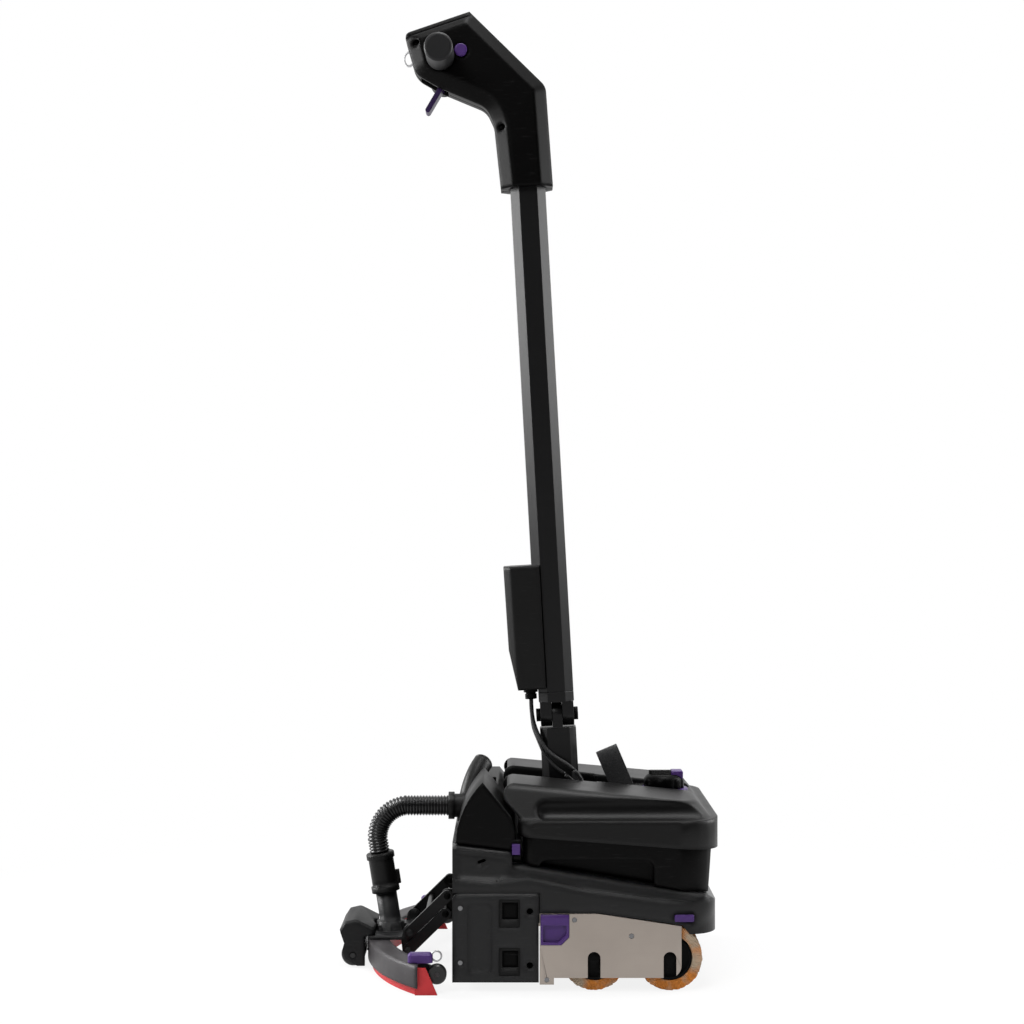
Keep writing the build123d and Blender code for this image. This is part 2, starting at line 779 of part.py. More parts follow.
def build_bend(radius):
    """Round rod along the elbow's bend."""
    with BuildPart() as bend:
        with BuildLine(elbow_plane):
            CenterArc((elbow_bend, 0), elbow_bend, 180, -elbow_turn)
        with BuildSketch(level(elbow_low)):
            with Locations((elbow_x, 0)):
                Circle(radius)
        sweep()
    return bend.part


elbow_outside = build_bend(elbow_r)
elbow_inside = build_bend(elbow_bore_r)
with BuildPart() as suction_elbow:
    add(elbow_outside)
    with BuildSketch(Plane.YZ.offset(coupling_x)):
        with Locations((0, coupling_z)):
            Circle(hose_r + 2.0)
    extrude(amount=elbow_x - coupling_x)
    with BuildSketch(Plane.YZ.offset(coupling_x)):
        with Locations((0, coupling_z)):
            RegularPolygon(hose_r + 4.5, 12)
    extrude(amount=7.0)
    add(elbow_inside, mode=Mode.SUBTRACT)
    with BuildSketch(Plane.YZ.offset(coupling_x)):
        with Locations((0, coupling_z)):
            Circle(hose_bore_r)
    extrude(amount=elbow_x - coupling_x, mode=Mode.SUBTRACT)
save(suction_elbow, "suction_elbow")

# Ribbed suction hose from the coupling down to the squeegee cuff
tilt_sin = sin(radians(pipe_tilt))
tilt_cos = cos(radians(pipe_tilt))


def pipe_point(rise):
    """Point on the squeegee pipe's leaning axis, rise along it from its foot."""
    return (pipe_x - rise * tilt_sin, pipe_z + rise * tilt_cos)


hose_foot = pipe_point(pipe_rise + cuff_rise)
bend_foot = pipe_point(pipe_rise + cuff_rise + hose_end_run)
hose_bend = (coupling_z - bend_foot[1]) / (1 + tilt_sin)
bend_head_x = bend_foot[0] + hose_bend * tilt_cos
hose_runs = (hose_end_run, hose_bend * radians(90 + pipe_tilt), coupling_x - bend_head_x)
hose_length = sum(hose_runs)


def hose_plane(station):
    """Plane across the hose at a distance from its foot, with a steady x axis across the machine."""
    if station < hose_runs[0]:
        x, z = pipe_point(pipe_rise + cuff_rise + station)
        heading = 90 + pipe_tilt
    elif station < hose_runs[0] + hose_runs[1]:
        heading = 90 + pipe_tilt - degrees((station - hose_runs[0]) / hose_bend)
        x = bend_head_x - hose_bend * sin(radians(heading))
        z = coupling_z - hose_bend * (1 - cos(radians(heading)))
    else:
        heading = 0
        x = bend_head_x + station - hose_runs[0] - hose_runs[1]
        z = coupling_z
    return Plane((x, 0, z), x_dir=(0, 1, 0), z_dir=(cos(radians(heading)), 0, sin(radians(heading))))


rib_pitch = hose_length / hose_ribs
with BuildPart() as suction_hose:
    for rib in range(hose_ribs):
        for share, radius in ((0, hose_root_r), (0.3, hose_r), (0.65, hose_r), (0.95, hose_root_r)):
            with BuildSketch(hose_plane((rib + share) * rib_pitch)):
                Circle(radius)
    with BuildSketch(hose_plane(hose_length)):
        Circle(hose_root_r)
    loft(ruled=True)
    with BuildLine(Plane.XZ):
        Line(hose_foot, bend_foot)
        RadiusArc(bend_foot, (bend_head_x, coupling_z), hose_bend)
        Line((bend_head_x, coupling_z), (coupling_x, coupling_z))
    with BuildSketch(hose_plane(0)):
        Circle(hose_bore_r)
    sweep(mode=Mode.SUBTRACT)
save(suction_hose, "suction_hose")
print("suction hose: length", round(hose_length), "mm, bend radius", round(hose_bend, 1), "mm")

# Recovery tank: a U-shaped bucket that straddles the mast foot
tank_top = rim_top - wall - run_gap
tank_front_lean = 7.0
grip_recess_rear = 14.0
grip_recess_front = 144.0
grip_recess_top = 146.0
grip_recess_depth = 14.0


def build_block(inset, low, high, front_lean):
    """U-shaped block of the tank's plan, inset all round, between two sloping lines given as (rear, front)."""
    rear, front = rim_rear + inset, half_length - inset
    with BuildPart() as block:
        with BuildSketch(level(0)) as plan:
            with Locations(((rear + front) / 2, 0)):
                Rectangle(front - rear, 2 * (body_half - inset))
            fillet(plan.vertices().group_by(Axis.X)[-1], rim_corner_r - inset)
            fillet(plan.vertices().group_by(Axis.X)[0], 16.0 - inset)
            with Locations(((rim_rear + slot_front + inset) / 2 - 10.0, 0)):
                Rectangle(slot_front + inset - rim_rear + 20.0, 2 * (slot_half + inset), mode=Mode.SUBTRACT)
        extrude(amount=2 * rim_top)
        with BuildSketch(side_plane(body_half)):
            with BuildLine():
                Polyline((rear, low[0]), (front - front_lean, low[1]), (front, high[1]), (rear, high[0]),
                         close=True)
            make_face()
        extrude(amount=2 * body_half, mode=Mode.INTERSECT)
    return block.part


tank_front_low = half_length - tank_inset - tank_front_lean
tank_low = (deck_height(rim_rear + tank_inset) + tank_clear, deck_height(tank_front_low) + tank_clear)
tank_block = build_block(tank_inset, tank_low, (tank_top, tank_top), tank_front_lean)
tank_floor = (tank_low[0] + wall, tank_low[1] + wall)
tank_hollow = build_block(tank_inset + wall, tank_floor, (tank_top, tank_top), tank_front_lean)
recess_mid = (grip_recess_rear + grip_recess_front) / 2
recess_length = grip_recess_front - grip_recess_rear


def build_recess(grow):
    """Finger recesses low on both sides of the tank, grown by a wall."""
    with BuildPart() as recess:
        for side in (-1, 1):
            with BuildSketch(side_plane(side * body_half)):
                with Locations((recess_mid, grip_recess_top / 2)):
                    Rectangle(recess_length + 2 * grow, grip_recess_top + 2 * grow)
            extrude(amount=side * (tank_inset + grip_recess_depth + grow))
        fillet(recess.edges().filter_by(Axis.Y).group_by(Axis.Z)[-1], 10.0)
    return recess.part


recess_cut = build_recess(0)
recess_wall = build_recess(wall)
with BuildPart() as tank_inside:
    add(tank_hollow)
    add(recess_wall, mode=Mode.SUBTRACT)
with BuildPart() as recovery_tank:
    add(tank_block)
    add(recess_cut, mode=Mode.SUBTRACT)
    add(tank_inside.part, mode=Mode.SUBTRACT)
save(recovery_tank, "recovery_tank")

# Tank lid: rim with a skirt, a lofted hollow dome with two falling lobes and a valley to the filler
dome_half = body_half - 10.0
dome_top_half = 110.0
valley_floor = 205.0
valley_half = 31.0
lid_front_z = 206.0  # height of the lobes' top line at the dome's front
lid_round = 12.0
dome_front_corner = 34.0
cove_rear = 24.0  # the scooped cove along each side starts here
cove_y = dome_half - 3.0
cove_z = rim_top + 13.0
cove_r = 14.0
rim_block = build_block(0, (rim_bottom_rear, rim_bottom_front), (rim_top, rim_top), 0)
rim_hollow = build_block(wall, (0, 0), (rim_top - wall, rim_top - wall), 0)
dome_rear = rim_rear + 4.0
dome_front = half_length - 9.0


def build_dome(shrink, low):
    """The lid's two-lobed dome above a height, shrunk by a wall for its inside."""
    with BuildPart() as dome:
        for height, rear, front, half in (
            (low, dome_rear + shrink, dome_front - shrink, dome_half - shrink),
            (lid_top + 4.0, lobe_rear + shrink, lid_front_top - shrink, dome_top_half - shrink),
        ):
            with BuildSketch(level(height)) as dome_plan:
                with Locations(((rear + front) / 2, 0)):
                    Rectangle(front - rear, 2 * half)
                fillet(dome_plan.vertices().group_by(Axis.X)[-1], dome_front_corner - shrink)
        loft()
        with BuildSketch(side_plane(body_half)):
            with BuildLine():
                Polyline((lobe_rear - 5.0, lid_top - shrink), (dome_front, lid_front_z - shrink),
                         (dome_front, 2 * lid_top), (lobe_rear - 5.0, 2 * lid_top), close=True)
            make_face()
        extrude(amount=2 * body_half, mode=Mode.SUBTRACT)
        if not shrink:
            fillet(dome.faces().sort_by(Axis.Z)[-1].edges(), lid_round)
        with Locations((cove_rear, cove_y, cove_z), (cove_rear, -cove_y, cove_z)):
            Cylinder(cove_r + shrink, half_length - cove_rear, rotation=(0, 90, 0),
                     align=(Align.CENTER, Align.CENTER, Align.MIN), mode=Mode.SUBTRACT)
            Sphere(cove_r + shrink, mode=Mode.SUBTRACT)
        with BuildSketch(level(low)):
            with Locations(((slot_front + lobe_rear + shrink) / 2 - 10.0, 0)):
                Rectangle(slot_front - lobe_rear + 20.0 + shrink, 2 * (slot_half + shrink))
        extrude(amount=lid_top, mode=Mode.SUBTRACT)
        with BuildSketch(level(valley_floor - shrink)):
            with Locations(((slot_front + half_length) / 2 - 5.0, 0)):
                Rectangle(half_length - slot_front + 10.0, 2 * (valley_half + shrink))
        extrude(amount=lid_top, mode=Mode.SUBTRACT)
        with BuildSketch(level(cap_seat - shrink)):
            with Locations((cap_x, 0)):
                Circle(cap_r + 6.5 + shrink)
            with Locations((cap_x + 30.0, 0)):
                Rectangle(60.0, 2 * (cap_r + 6.5 + shrink))
        extrude(amount=lid_top, mode=Mode.SUBTRACT)
    return dome.part


dome_outside = build_dome(0, rim_top)
dome_inside = build_dome(wall + 0.5, rim_top - wall - 1.0)
with BuildPart() as tank_lid:
    add(dome_outside)
    add(rim_block)
    add(rim_hollow, mode=Mode.SUBTRACT)
    add(dome_inside, mode=Mode.SUBTRACT)
save(tank_lid, "tank_lid")

# Filler ring and cap on the lid's front
with BuildPart() as cap_ring:
    with BuildSketch(level(cap_seat)):
        with Locations((cap_x, 0)):
            Circle(cap_r + 5.0)
            Circle(cap_r - 6.0, mode=Mode.SUBTRACT)
    extrude(amount=4.0)
    fillet(cap_ring.faces().sort_by(Axis.Z)[-1].edges().sort_by(Edge.length)[-1], 2.0)
save(cap_ring, "cap_ring")

cap_low = cap_seat + 4.0 + run_gap
with BuildPart() as filler_cap:
    with BuildSketch(level(cap_low)):
        with Locations((cap_x, 0)):
            Circle(cap_r)
    extrude(amount=cap_height - 9.0)
    fillet(filler_cap.faces().sort_by(Axis.Z)[-1].edges(), 9.0)
    with BuildSketch(level(cap_low)):
        with Locations((cap_x, 0)):
            with PolarLocations(cap_r + 1.2, 12):
                Circle(2.6)
    extrude(amount=cap_height, mode=Mode.SUBTRACT)
    with BuildSketch(level(cap_low)):
        with Locations((cap_x, 0)):
            RectangleRounded(1.5 * cap_r, 9.0, 4.0)
    extrude(amount=cap_height - 5.0)
save(filler_cap, "filler_cap")

# Webbing strap, a loop that stands up from the lid's valley
strap_height = 52.0
strap_half = 15.0
strap_lean = 23.0
with BuildPart() as strap:
    with BuildSketch(Plane((strap_x, 0, valley_floor - 8.0), x_dir=(0, 1, 0),
                           z_dir=(cos(radians(strap_lean)), 0, sin(radians(strap_lean))))):
        with Locations((0, strap_height / 2)):
            RectangleRounded(2 * strap_half, strap_height + 16.0, strap_half - 0.5)
            RectangleRounded(2 * (strap_half - strap_t), strap_height + 16.0 - 2 * strap_t, strap_half - strap_t - 0.5,
                             mode=Mode.SUBTRACT)
    extrude(amount=strap_width / 2, both=True)
    split(bisect_by=level(valley_floor), keep=Keep.TOP)
save(strap, "strap")

# Mast bracket on the shell's deck: two ears that carry the pitch pin
bracket_rear = 18.0
bracket_front = 74.0
bracket_t = 5.0
ear_in = 24.5
ear_t = 6.5
ear_r = 13.0
ear_out = ear_in + ear_t


def deck_strip(rise):
    """The bracket's foot line on the sloping deck, raised by a height."""
    return [(bracket_rear, deck_height(bracket_rear) + rise), (bracket_front, deck_height(bracket_front) + rise)]


with BuildPart() as mast_bracket:
    with BuildSketch(side_plane(ear_out)):
        with BuildLine():
            Polyline(*deck_strip(0), *reversed(deck_strip(bracket_t)), close=True)
        make_face()
    extrude(amount=2 * ear_out)
    for near in (ear_out, -ear_in):
        with BuildSketch(side_plane(near)):
            with BuildLine():
                Polyline(*deck_strip(bracket_t / 2), (pitch_x + ear_r, pitch_z), (pitch_x - ear_r, pitch_z),
                         close=True)
            make_face()
            with Locations((pitch_x, pitch_z)):
                Circle(ear_r)
                Circle(pin_r + pin_gap, mode=Mode.SUBTRACT)
        extrude(amount=ear_t)
save(mast_bracket, "mast_bracket")

# Mast foot: pitch barrel, column and the roll joint's tongue
foot_half_u = 17.5
foot_half_v = 17.0
sleeve_start = 48.0  # the foot is thicker above this
sleeve_half_u = 21.5
sleeve_half_v = 17.0
foot_top = 115.0
bolt_r = 5.0


def mast_front(u):
    """Plane facing along the mast's forward side at u: sketch x to the left, sketch y up the mast."""
    return Plane(pitch_point, x_dir=(0, 1, 0), z_dir=(lean_cos, 0, lean_sin)).offset(u)


with BuildPart() as mast_foot:
    with BuildSketch(mast_section(0)) as foot_section:
        Rectangle(2 * foot_half_u, 2 * foot_half_v)
        chamfer(foot_section.vertices(), 7.0)
    extrude(amount=foot_top)
    with BuildSketch(mast_section(sleeve_start)) as sleeve_section:
        Rectangle(2 * sleeve_half_u, 2 * sleeve_half_v)
        chamfer(sleeve_section.vertices(), 8.0)
    extrude(amount=foot_top - sleeve_start)
    with BuildSketch(side_plane(ear_in - run_gap)):
        with Locations((pitch_x, pitch_z)):
            Circle(ear_r)
    extrude(amount=2 * (ear_in - run_gap))
    with BuildSketch(side_plane(ear_in)):
        with Locations((pitch_x, pitch_z)):
            Circle(pin_r + pin_gap)
    extrude(amount=2 * ear_in, mode=Mode.SUBTRACT)
    with BuildSketch(mast_front(-tongue_half)):
        with Locations((0, (foot_top + roll_w) / 2 - 2.0)):
            Rectangle(2 * knuckle_r, roll_w - foot_top + 4.0)
        with Locations((0, roll_w)):
            Circle(knuckle_r)
            Circle(bolt_r + pin_gap, mode=Mode.SUBTRACT)
    extrude(amount=2 * tongue_half)
    with BuildSketch(mast_side(4.0)):
        with BuildLine():
            Polyline((-foot_half_u, 8.0), (-foot_half_u - 13.0, 20.0), (-foot_half_u, sleeve_start), close=True)
        make_face()
    extrude(amount=8.0)
save(mast_foot, "mast_foot")

# Roll bolt through the fork and the tongue, with its head at the front
bolt_head_r = 8.5
with BuildPart() as roll_bolt:
    with BuildSketch(mast_front(-fork_half)):
        with Locations((0, roll_w)):
            Circle(bolt_r)
    extrude(amount=2 * fork_half)
    for start, length in ((fork_half, 5.0), (-fork_half - 5.0, 5.0)):
        with BuildSketch(mast_front(start)):
            with Locations((0, roll_w)):
                RegularPolygon(bolt_head_r, 6)
        extrude(amount=length)
save(roll_bolt, "roll_bolt")


# Mast fork: two knuckles, a cap and the plug that holds the mast
def mast_outline(grow):
    """The mast's chamfered square section, grown by a clearance."""
    with BuildSketch() as outline:
        Rectangle(2 * (mast_half + grow), 2 * (mast_half + grow))
        chamfer(outline.vertices(), mast_chamfer + 0.6 * grow)
    return outline.sketch


mast_full = mast_outline(0)
mast_bore = mast_outline(-mast_wall)
fork_cap = roll_w + knuckle_r + 2.0
with BuildPart() as mast_fork:
    for start in (tongue_half + run_gap, -fork_half):
        with BuildSketch(mast_front(start)):
            with Locations((0, roll_w)):
                Circle(knuckle_r)
            with Locations((0, (roll_w + fork_cap) / 2)):
                Rectangle(2 * knuckle_r, fork_cap - roll_w)
            with Locations((0, roll_w)):
                Circle(bolt_r + pin_gap, mode=Mode.SUBTRACT)
        extrude(amount=fork_half - tongue_half - run_gap)
    with BuildSketch(mast_section(fork_cap)):
        add(mast_full)
    extrude(amount=mast_start - fork_cap)
    with BuildSketch(mast_section(mast_start)):
        add(mast_bore)
    extrude(amount=30.0)
save(mast_fork, "mast_fork")

with BuildPart() as mast_tube:
    with BuildSketch(mast_section(mast_start)):
        add(mast_full)
        add(mast_bore, mode=Mode.SUBTRACT)
    extrude(amount=mast_end - mast_start)
save(mast_tube, "mast_tube")

# Battery box clasping the back of the mast, its battery and its cable gland
box_low = 163.0
box_high = 310.0
box_half = 28.0
box_front = -12.0
box_rear = -54.5
box_knee = 211.0
box_toe = -45.0
box_wall = 3.0
box_chamfer = 8.5
gland_u = -30.0
gland_r = 7.0
gland_drop = 13.0
with BuildPart() as battery_box:
    with BuildSketch(mast_side(box_half)):
        with BuildLine():
            Polyline((box_front, box_low), (box_toe, box_low), (box_rear + 1.0, box_knee), (box_rear, box_high),
                     (box_front, box_high), close=True)
        make_face()
    extrude(amount=2 * box_half)
    chamfer(battery_box.edges().filter_by(lambda e: e.center().X < battery_box.part.center().X - 18.0
                                          and abs(e.center().Y) > box_half - 1.0), box_chamfer)
    with BuildSketch(mast_section(box_low)):
        add(mast_full)
    extrude(amount=box_high - box_low, mode=Mode.SUBTRACT)
    with BuildSketch(mast_section(box_low + 8.0)):
        with Locations(((box_toe + 9.0 - mast_half - box_wall) / 2, 0)):
            Rectangle(-mast_half - box_wall - box_toe - 9.0, 2 * (box_half - 8.0))
    extrude(amount=box_high - box_low - 12.0, mode=Mode.SUBTRACT)
save(battery_box, "battery_box")

with BuildPart() as battery_pack:
    with BuildSketch(mast_section(box_low + 8.0)):
        with Locations(((box_toe + 9.0 - mast_half - box_wall) / 2, 0)):
            Rectangle(-mast_half - box_wall - box_toe - 10.0, 2 * (box_half - 8.5))
    extrude(amount=box_high - box_low - 20.0)
save(battery_pack, "battery_pack")

with BuildPart() as cable_gland:
    for start, radius, length in ((0, gland_r + 1.5, 5.0), (5.0, gland_r - 1.0, 2.0),
                                  (7.0, gland_r, gland_drop - 7.0)):
        with BuildSketch(mast_section(box_low - start)):
            with Locations((gland_u, 0)):
                RegularPolygon(radius, 8)
        extrude(amount=-length)
save(cable_gland, "cable_gland")

# Handle head: a bent chamfered housing in two halves with a top cover
collar_w = 760.0
collar_front = 30.0
collar_rear = -32.0
head_points = [
    (collar_rear, collar_w),
    (collar_front, collar_w),
    (collar_front - 2.0, 879.0),
    (-58.0, 973.0),
    (-137.0, 951.0),
    (-126.0, 902.0),
    (-98.0, 884.0),
    (-44.0, 858.0),
    (-36.0, 838.0),
]
head_rounds = [(head_points[2], 18.0), (head_points[5], 26.0), (head_points[7], 22.0), (head_points[8], 24.0)]
head_tip_r = 8.0  # round of the head's back edge
head_wall = 6.0
cover_line = [(-137.0, 944.0), (-58.0, 966.0)]
trigger_u = -88.0
trigger_w = 899.0
trigger_half = 11.0
trigger_t = 6.0
trigger_tip = (-114.0, 860.0)
thumb_u = -70.5
thumb_w = 924.0
thumb_r = 7.5
thumb_proud = 4.0
thumb_depth = 13.0
head_screws = ((-123.0, 937.0), (-27.0, 832.0))

# Handlebar: a cross tube with two drooping grips, clamped in the head
droop_sin = sin(radians(grip_droop))
droop_cos = cos(radians(grip_droop))
grip_start = head_half - 4.0
with BuildPart() as handlebar:
    with BuildSketch(mast_side(grip_start + 2.0)):
        with Locations((grip_u, grip_w)):
            Circle(grip_r - 4.0)
    extrude(amount=2 * grip_start + 4.0)
    for side in (-1, 1):
        root = mast_side(side * grip_start).from_local_coords((grip_u, grip_w, 0))
        with BuildSketch(Plane(root, x_dir=(1, 0, 0), z_dir=(0, side * droop_cos, -droop_sin))):
            Circle(grip_r)
        extrude(amount=(grip_reach - grip_start) / droop_cos)
    ends = handlebar.faces().filter_by(GeomType.PLANE).sort_by(Axis.Y)
    fillet(ends[0].edges() + ends[-1].edges(), 4.0)
save(handlebar, "handlebar")

with BuildPart() as head_inside:
    with BuildSketch(mast_side(head_half - head_chamfer)):
        with BuildLine():
            Polyline(*head_points, close=True)
        make_face()
        offset(amount=-head_wall, mode=Mode.REPLACE)
    extrude(amount=2 * (head_half - head_chamfer))
    with BuildSketch(mast_section(mast_end)):
        Rectangle(4 * mast_half, 4 * mast_half)
    extrude(amount=-mast_end, mode=Mode.SUBTRACT)

with BuildPart() as head:
    with BuildSketch(mast_side(head_half)) as head_plan:
        with BuildLine():
            Polyline(*head_points, close=True)
        make_face()
        for corner, radius in head_rounds:
            fillet(head_plan.vertices().sort_by_distance(corner)[0], radius)
    extrude(amount=2 * head_half)
    collar_z = mast_section(collar_w).origin.Z
    chamfer(head.edges().filter_by(lambda e: abs(abs(e.center().Y) - head_half) < 0.01
                                   and e.center().Z > collar_z + 5.0), head_chamfer)
    head_tip = mast_side(0).from_local_coords((head_points[4][0], head_points[4][1], 0))
    fillet(head.edges().filter_by(Axis.Y).sort_by_distance(head_tip)[0], head_tip_r)
    add(head_inside.part, mode=Mode.SUBTRACT)
    with BuildSketch(mast_section(collar_w)):
        add(mast_full)
    extrude(amount=mast_end - collar_w, mode=Mode.SUBTRACT)

with BuildPart() as head_shells:
    add(head.part)
    with BuildSketch(mast_side(head_half)):
        with BuildLine():
            Polyline(*cover_line, (cover_line[1][0], 1000.0), (cover_line[0][0], 1000.0), close=True)
        make_face()
    extrude(amount=2 * head_half, mode=Mode.SUBTRACT)
    add(handlebar.part, mode=Mode.SUBTRACT)
    with BuildSketch(mast_side(head_half)):
        with Locations((thumb_u, thumb_w)):
            Circle(thumb_r + run_gap)
    extrude(amount=2 * head_half, mode=Mode.SUBTRACT)
    with BuildSketch(mast_side(trigger_half + 1.0)):
        with BuildLine():
            Polyline((-124.0, 880.0), (-118.0, 908.0), (-84.0, 908.0), (-90.0, 868.0), close=True)
        make_face()
    extrude(amount=2 * trigger_half + 2.0, mode=Mode.SUBTRACT)
    with BuildSketch(mast_side(head_half)):
        with Locations(*head_screws):
            Circle(4.0)
    extrude(amount=2 * head_half, mode=Mode.SUBTRACT)

for name, keep in (("handle_shell_right", Keep.TOP), ("handle_shell_left", Keep.BOTTOM)):
    with BuildPart() as half_shell:
        add(head_shells.part)
        split(bisect_by=Plane.XZ, keep=keep)
    save(half_shell, name)

with BuildPart() as handle_top_cover:
    add(head.part)
    with BuildSketch(mast_side(head_half)):
        with BuildLine():
            Polyline(*cover_line, (cover_line[1][0], 1000.0), (cover_line[0][0], 1000.0), close=True)
        make_face()
    extrude(amount=2 * head_half, mode=Mode.INTERSECT)
save(handle_top_cover, "handle_top_cover")

with BuildPart() as handle_screws:
    with BuildSketch(mast_side(head_half - head_chamfer + 4.0)):
        with Locations(*head_screws):
            Circle(3.8)
    extrude(amount=2 * (head_half - head_chamfer + 4.0))
save(handle_screws, "handle_screws")


def build_thumb_button(side):
    """Round thumb button in the side of the head, in front of the grip."""
    with BuildPart() as button:
        with BuildSketch(mast_side(side * (head_half + thumb_proud))):
            with Locations((thumb_u, thumb_w)):
                Circle(thumb_r)
        extrude(amount=side * thumb_depth)
        fillet(button.faces().sort_by(Axis.Y)[-1 if side > 0 else 0].edges(), 1.5)
    return button


thumb_right = build_thumb_button(-1)
save(thumb_right, "thumb_button_right")
thumb_left = build_thumb_button(1)
save(thumb_left, "thumb_button_left")

# Trigger paddle, hung from a pin inside the head
trigger_run = sqrt((trigger_tip[0] - trigger_u) ** 2 + (trigger_tip[1] - trigger_w) ** 2)
trigger_turn = degrees(atan2(trigger_tip[1] - trigger_w, trigger_tip[0] - trigger_u))
with BuildPart() as trigger:
    with BuildSketch(mast_side(trigger_half)):
        with Locations(Location((trigger_u, trigger_w), trigger_turn)):
            with Locations((trigger_run / 2, 0)):
                Rectangle(trigger_run, trigger_t)
            with Locations((trigger_run, 0)):
                Circle(trigger_t / 2)
        with Locations((trigger_u, trigger_w)):
            Circle(5.0)
    extrude(amount=2 * trigger_half)
    with BuildSketch(mast_side(head_half - head_chamfer)):
        with Locations((trigger_u, trigger_w)):
            Circle(2.5)
    extrude(amount=2 * (head_half - head_chamfer))
save(trigger, "trigger")

# Pins of the mast foot and of the lift arms
with BuildPart() as pivot_pins:
    with BuildSketch(side_plane(ear_out + 3.0)):
        with Locations((pitch_x, pitch_z)):
            Circle(pin_r)
    extrude(amount=2 * (ear_out + 3.0))
    for near in (arm_near + arm_t + 1.0, -arm_in + arm_t):
        with BuildSketch(side_plane(near)):
            with Locations(*arm_tops):
                Circle(pin_r)
        extrude(amount=2 * arm_t + 1.0 + run_gap)
save(pivot_pins, "pivot_pins")


def build_arms(row):
    """A pair of lift arms and their tie bar: row 0 is the upper pair, row 1 the lower."""
    top, foot = arm_tops[row], arm_feet[row]
    slope = degrees(atan2(foot[1] - top[1], foot[0] - top[0]))
    reach = sqrt(arm_run ** 2 + arm_fall ** 2)
    with BuildPart() as arms:
        for near in (arm_near + arm_t, -arm_near):
            with BuildSketch(side_plane(near)):
                with Locations(Location(((top[0] + foot[0]) / 2, (top[1] + foot[1]) / 2), slope)):
                    SlotCenterToCenter(reach, 2 * arm_half + 2.0)
                with Locations(top, foot):
                    Circle(pin_r + pin_gap, mode=Mode.SUBTRACT)
            extrude(amount=arm_t)
        with BuildSketch(side_plane(arm_near)):
            with Locations(((top[0] + foot[0]) / 2, (top[1] + foot[1]) / 2)):
                Circle(arm_half - 1.5)
        extrude(amount=2 * arm_near)
    return arms


upper_arms = build_arms(0)
save(upper_arms, "upper_arms")
lower_arms = build_arms(1)
save(lower_arms, "lower_arms")

# Squeegee carrier: a bowed band with a top flange, and a tab with the end roller's axle on each side
bow_x = bow_rear + bow_r
bow_end = bow_x - sqrt(bow_r ** 2 - squeegee_half ** 2)
flange_t = 3.0
flange_depth = 24.0
knob_x = bow_end - 5.0
knob_y = squeegee_half - 19.0
knob_length = 28.0
knob_width = 13.0
knob_high = 45.0
side_roller_x = bow_end + 21.0
side_roller_z = 21.0
side_roller_r = 11.0
side_roller_y = squeegee_half - 25.0
side_roller_t = 10.0
axle_r = 3.0


def build_bow(outer, depth, low, high, half):
    """Band of the squeegee's bow, between two heights, as wide as half on each side."""
    with BuildPart() as band:
        with BuildSketch(level(low)):
            with Locations((bow_x, 0)):
                Circle(outer)
                Circle(outer - depth, mode=Mode.SUBTRACT)
            with Locations((bow_end - bow_r / 2, 0)):
                Rectangle(bow_r, 2 * half, mode=Mode.INTERSECT)
        extrude(amount=high - low)
    return band.part


def pipe_plane(rise):
    """Plane square to the leaning suction pipe."""
    x, z = pipe_point(rise)
    return Plane((x, 0, z), x_dir=(0, 1, 0), z_dir=(-tilt_sin, 0, tilt_cos))


band = build_bow(bow_r, carrier_t, carrier_bottom, carrier_top, squeegee_half)
flange = build_bow(bow_r, flange_depth, carrier_top - flange_t, carrier_top, squeegee_half)
with BuildPart() as squeegee_carrier:
    add(band)
    add(flange)
    for near in (side_roller_y, -side_roller_y + 4.0):
        with BuildSketch(side_plane(near)):
            with BuildLine():
                Polyline((bow_end - 9.0, carrier_top), (bow_end - 9.0, carrier_top - flange_t),
                         (side_roller_x, side_roller_z - 6.0), (side_roller_x + 5.0, side_roller_z + 4.0),
                         (bow_end, carrier_top), close=True)
            make_face()
        extrude(amount=4.0)
    for near in (side_roller_y + side_roller_t + 1.0, -side_roller_y):
        with BuildSketch(side_plane(near)):
            with Locations((side_roller_x, side_roller_z)):
                Circle(axle_r)
        extrude(amount=side_roller_t + 1.0)
    with BuildSketch(pipe_plane(-20.0)):
        Circle(elbow_bore_r)
    extrude(amount=20.0, mode=Mode.SUBTRACT)
    with BuildSketch(level(carrier_top - flange_t)):
        with Locations((knob_x, knob_y), (knob_x, -knob_y)):
            Circle(axle_r + pin_gap)
    extrude(amount=flange_t, mode=Mode.SUBTRACT)
save(squeegee_carrier, "squeegee_carrier")


def build_side_roller(side):
    """Small end roller on the carrier's axle."""
    with BuildPart() as side_roller:
        near = side * side_roller_y + (side_roller_t if side > 0 else 0) + side * run_gap
        with BuildSketch(side_plane(near)):
            with Locations((side_roller_x, side_roller_z)):
                Circle(side_roller_r)
                Circle(axle_r + pin_gap, mode=Mode.SUBTRACT)
        extrude(amount=side_roller_t)
        chamfer(side_roller.edges().filter_by(GeomType.CIRCLE).sort_by(Edge.length)[-2:], 1.5)
    return side_roller


roller_right = build_side_roller(-1)
save(roller_right, "support_roller_right")
roller_left = build_side_roller(1)
save(roller_left, "support_roller_left")

# Rubber blades: the rear one runs past the carrier's ends and turns forwards
blade_top = carrier_top - flange_t
blade_nose = bow_end + 22.0
blade_end_y = sqrt((bow_r - carrier_t) ** 2 - (bow_x - bow_end) ** 2)
rear_band = build_bow(bow_r - carrier_t, blade_t, 0, blade_top, squeegee_half - 1.0)
with BuildPart() as rear_blade:
    add(rear_band)
    for near in (blade_end_y, -blade_end_y + blade_t):
        with BuildSketch(side_plane(near)):
            with BuildLine():
                Polyline((bow_end - 3.0, 0), (blade_nose, 0), (blade_nose - 13.0, blade_top - 1.0),
                         (bow_end, blade_top - 1.0), (bow_end, carrier_bottom - 1.0),
                         (bow_end - 3.0, carrier_bottom - 1.0), close=True)
            make_face()
        extrude(amount=blade_t)
save(rear_blade, "rear_blade")

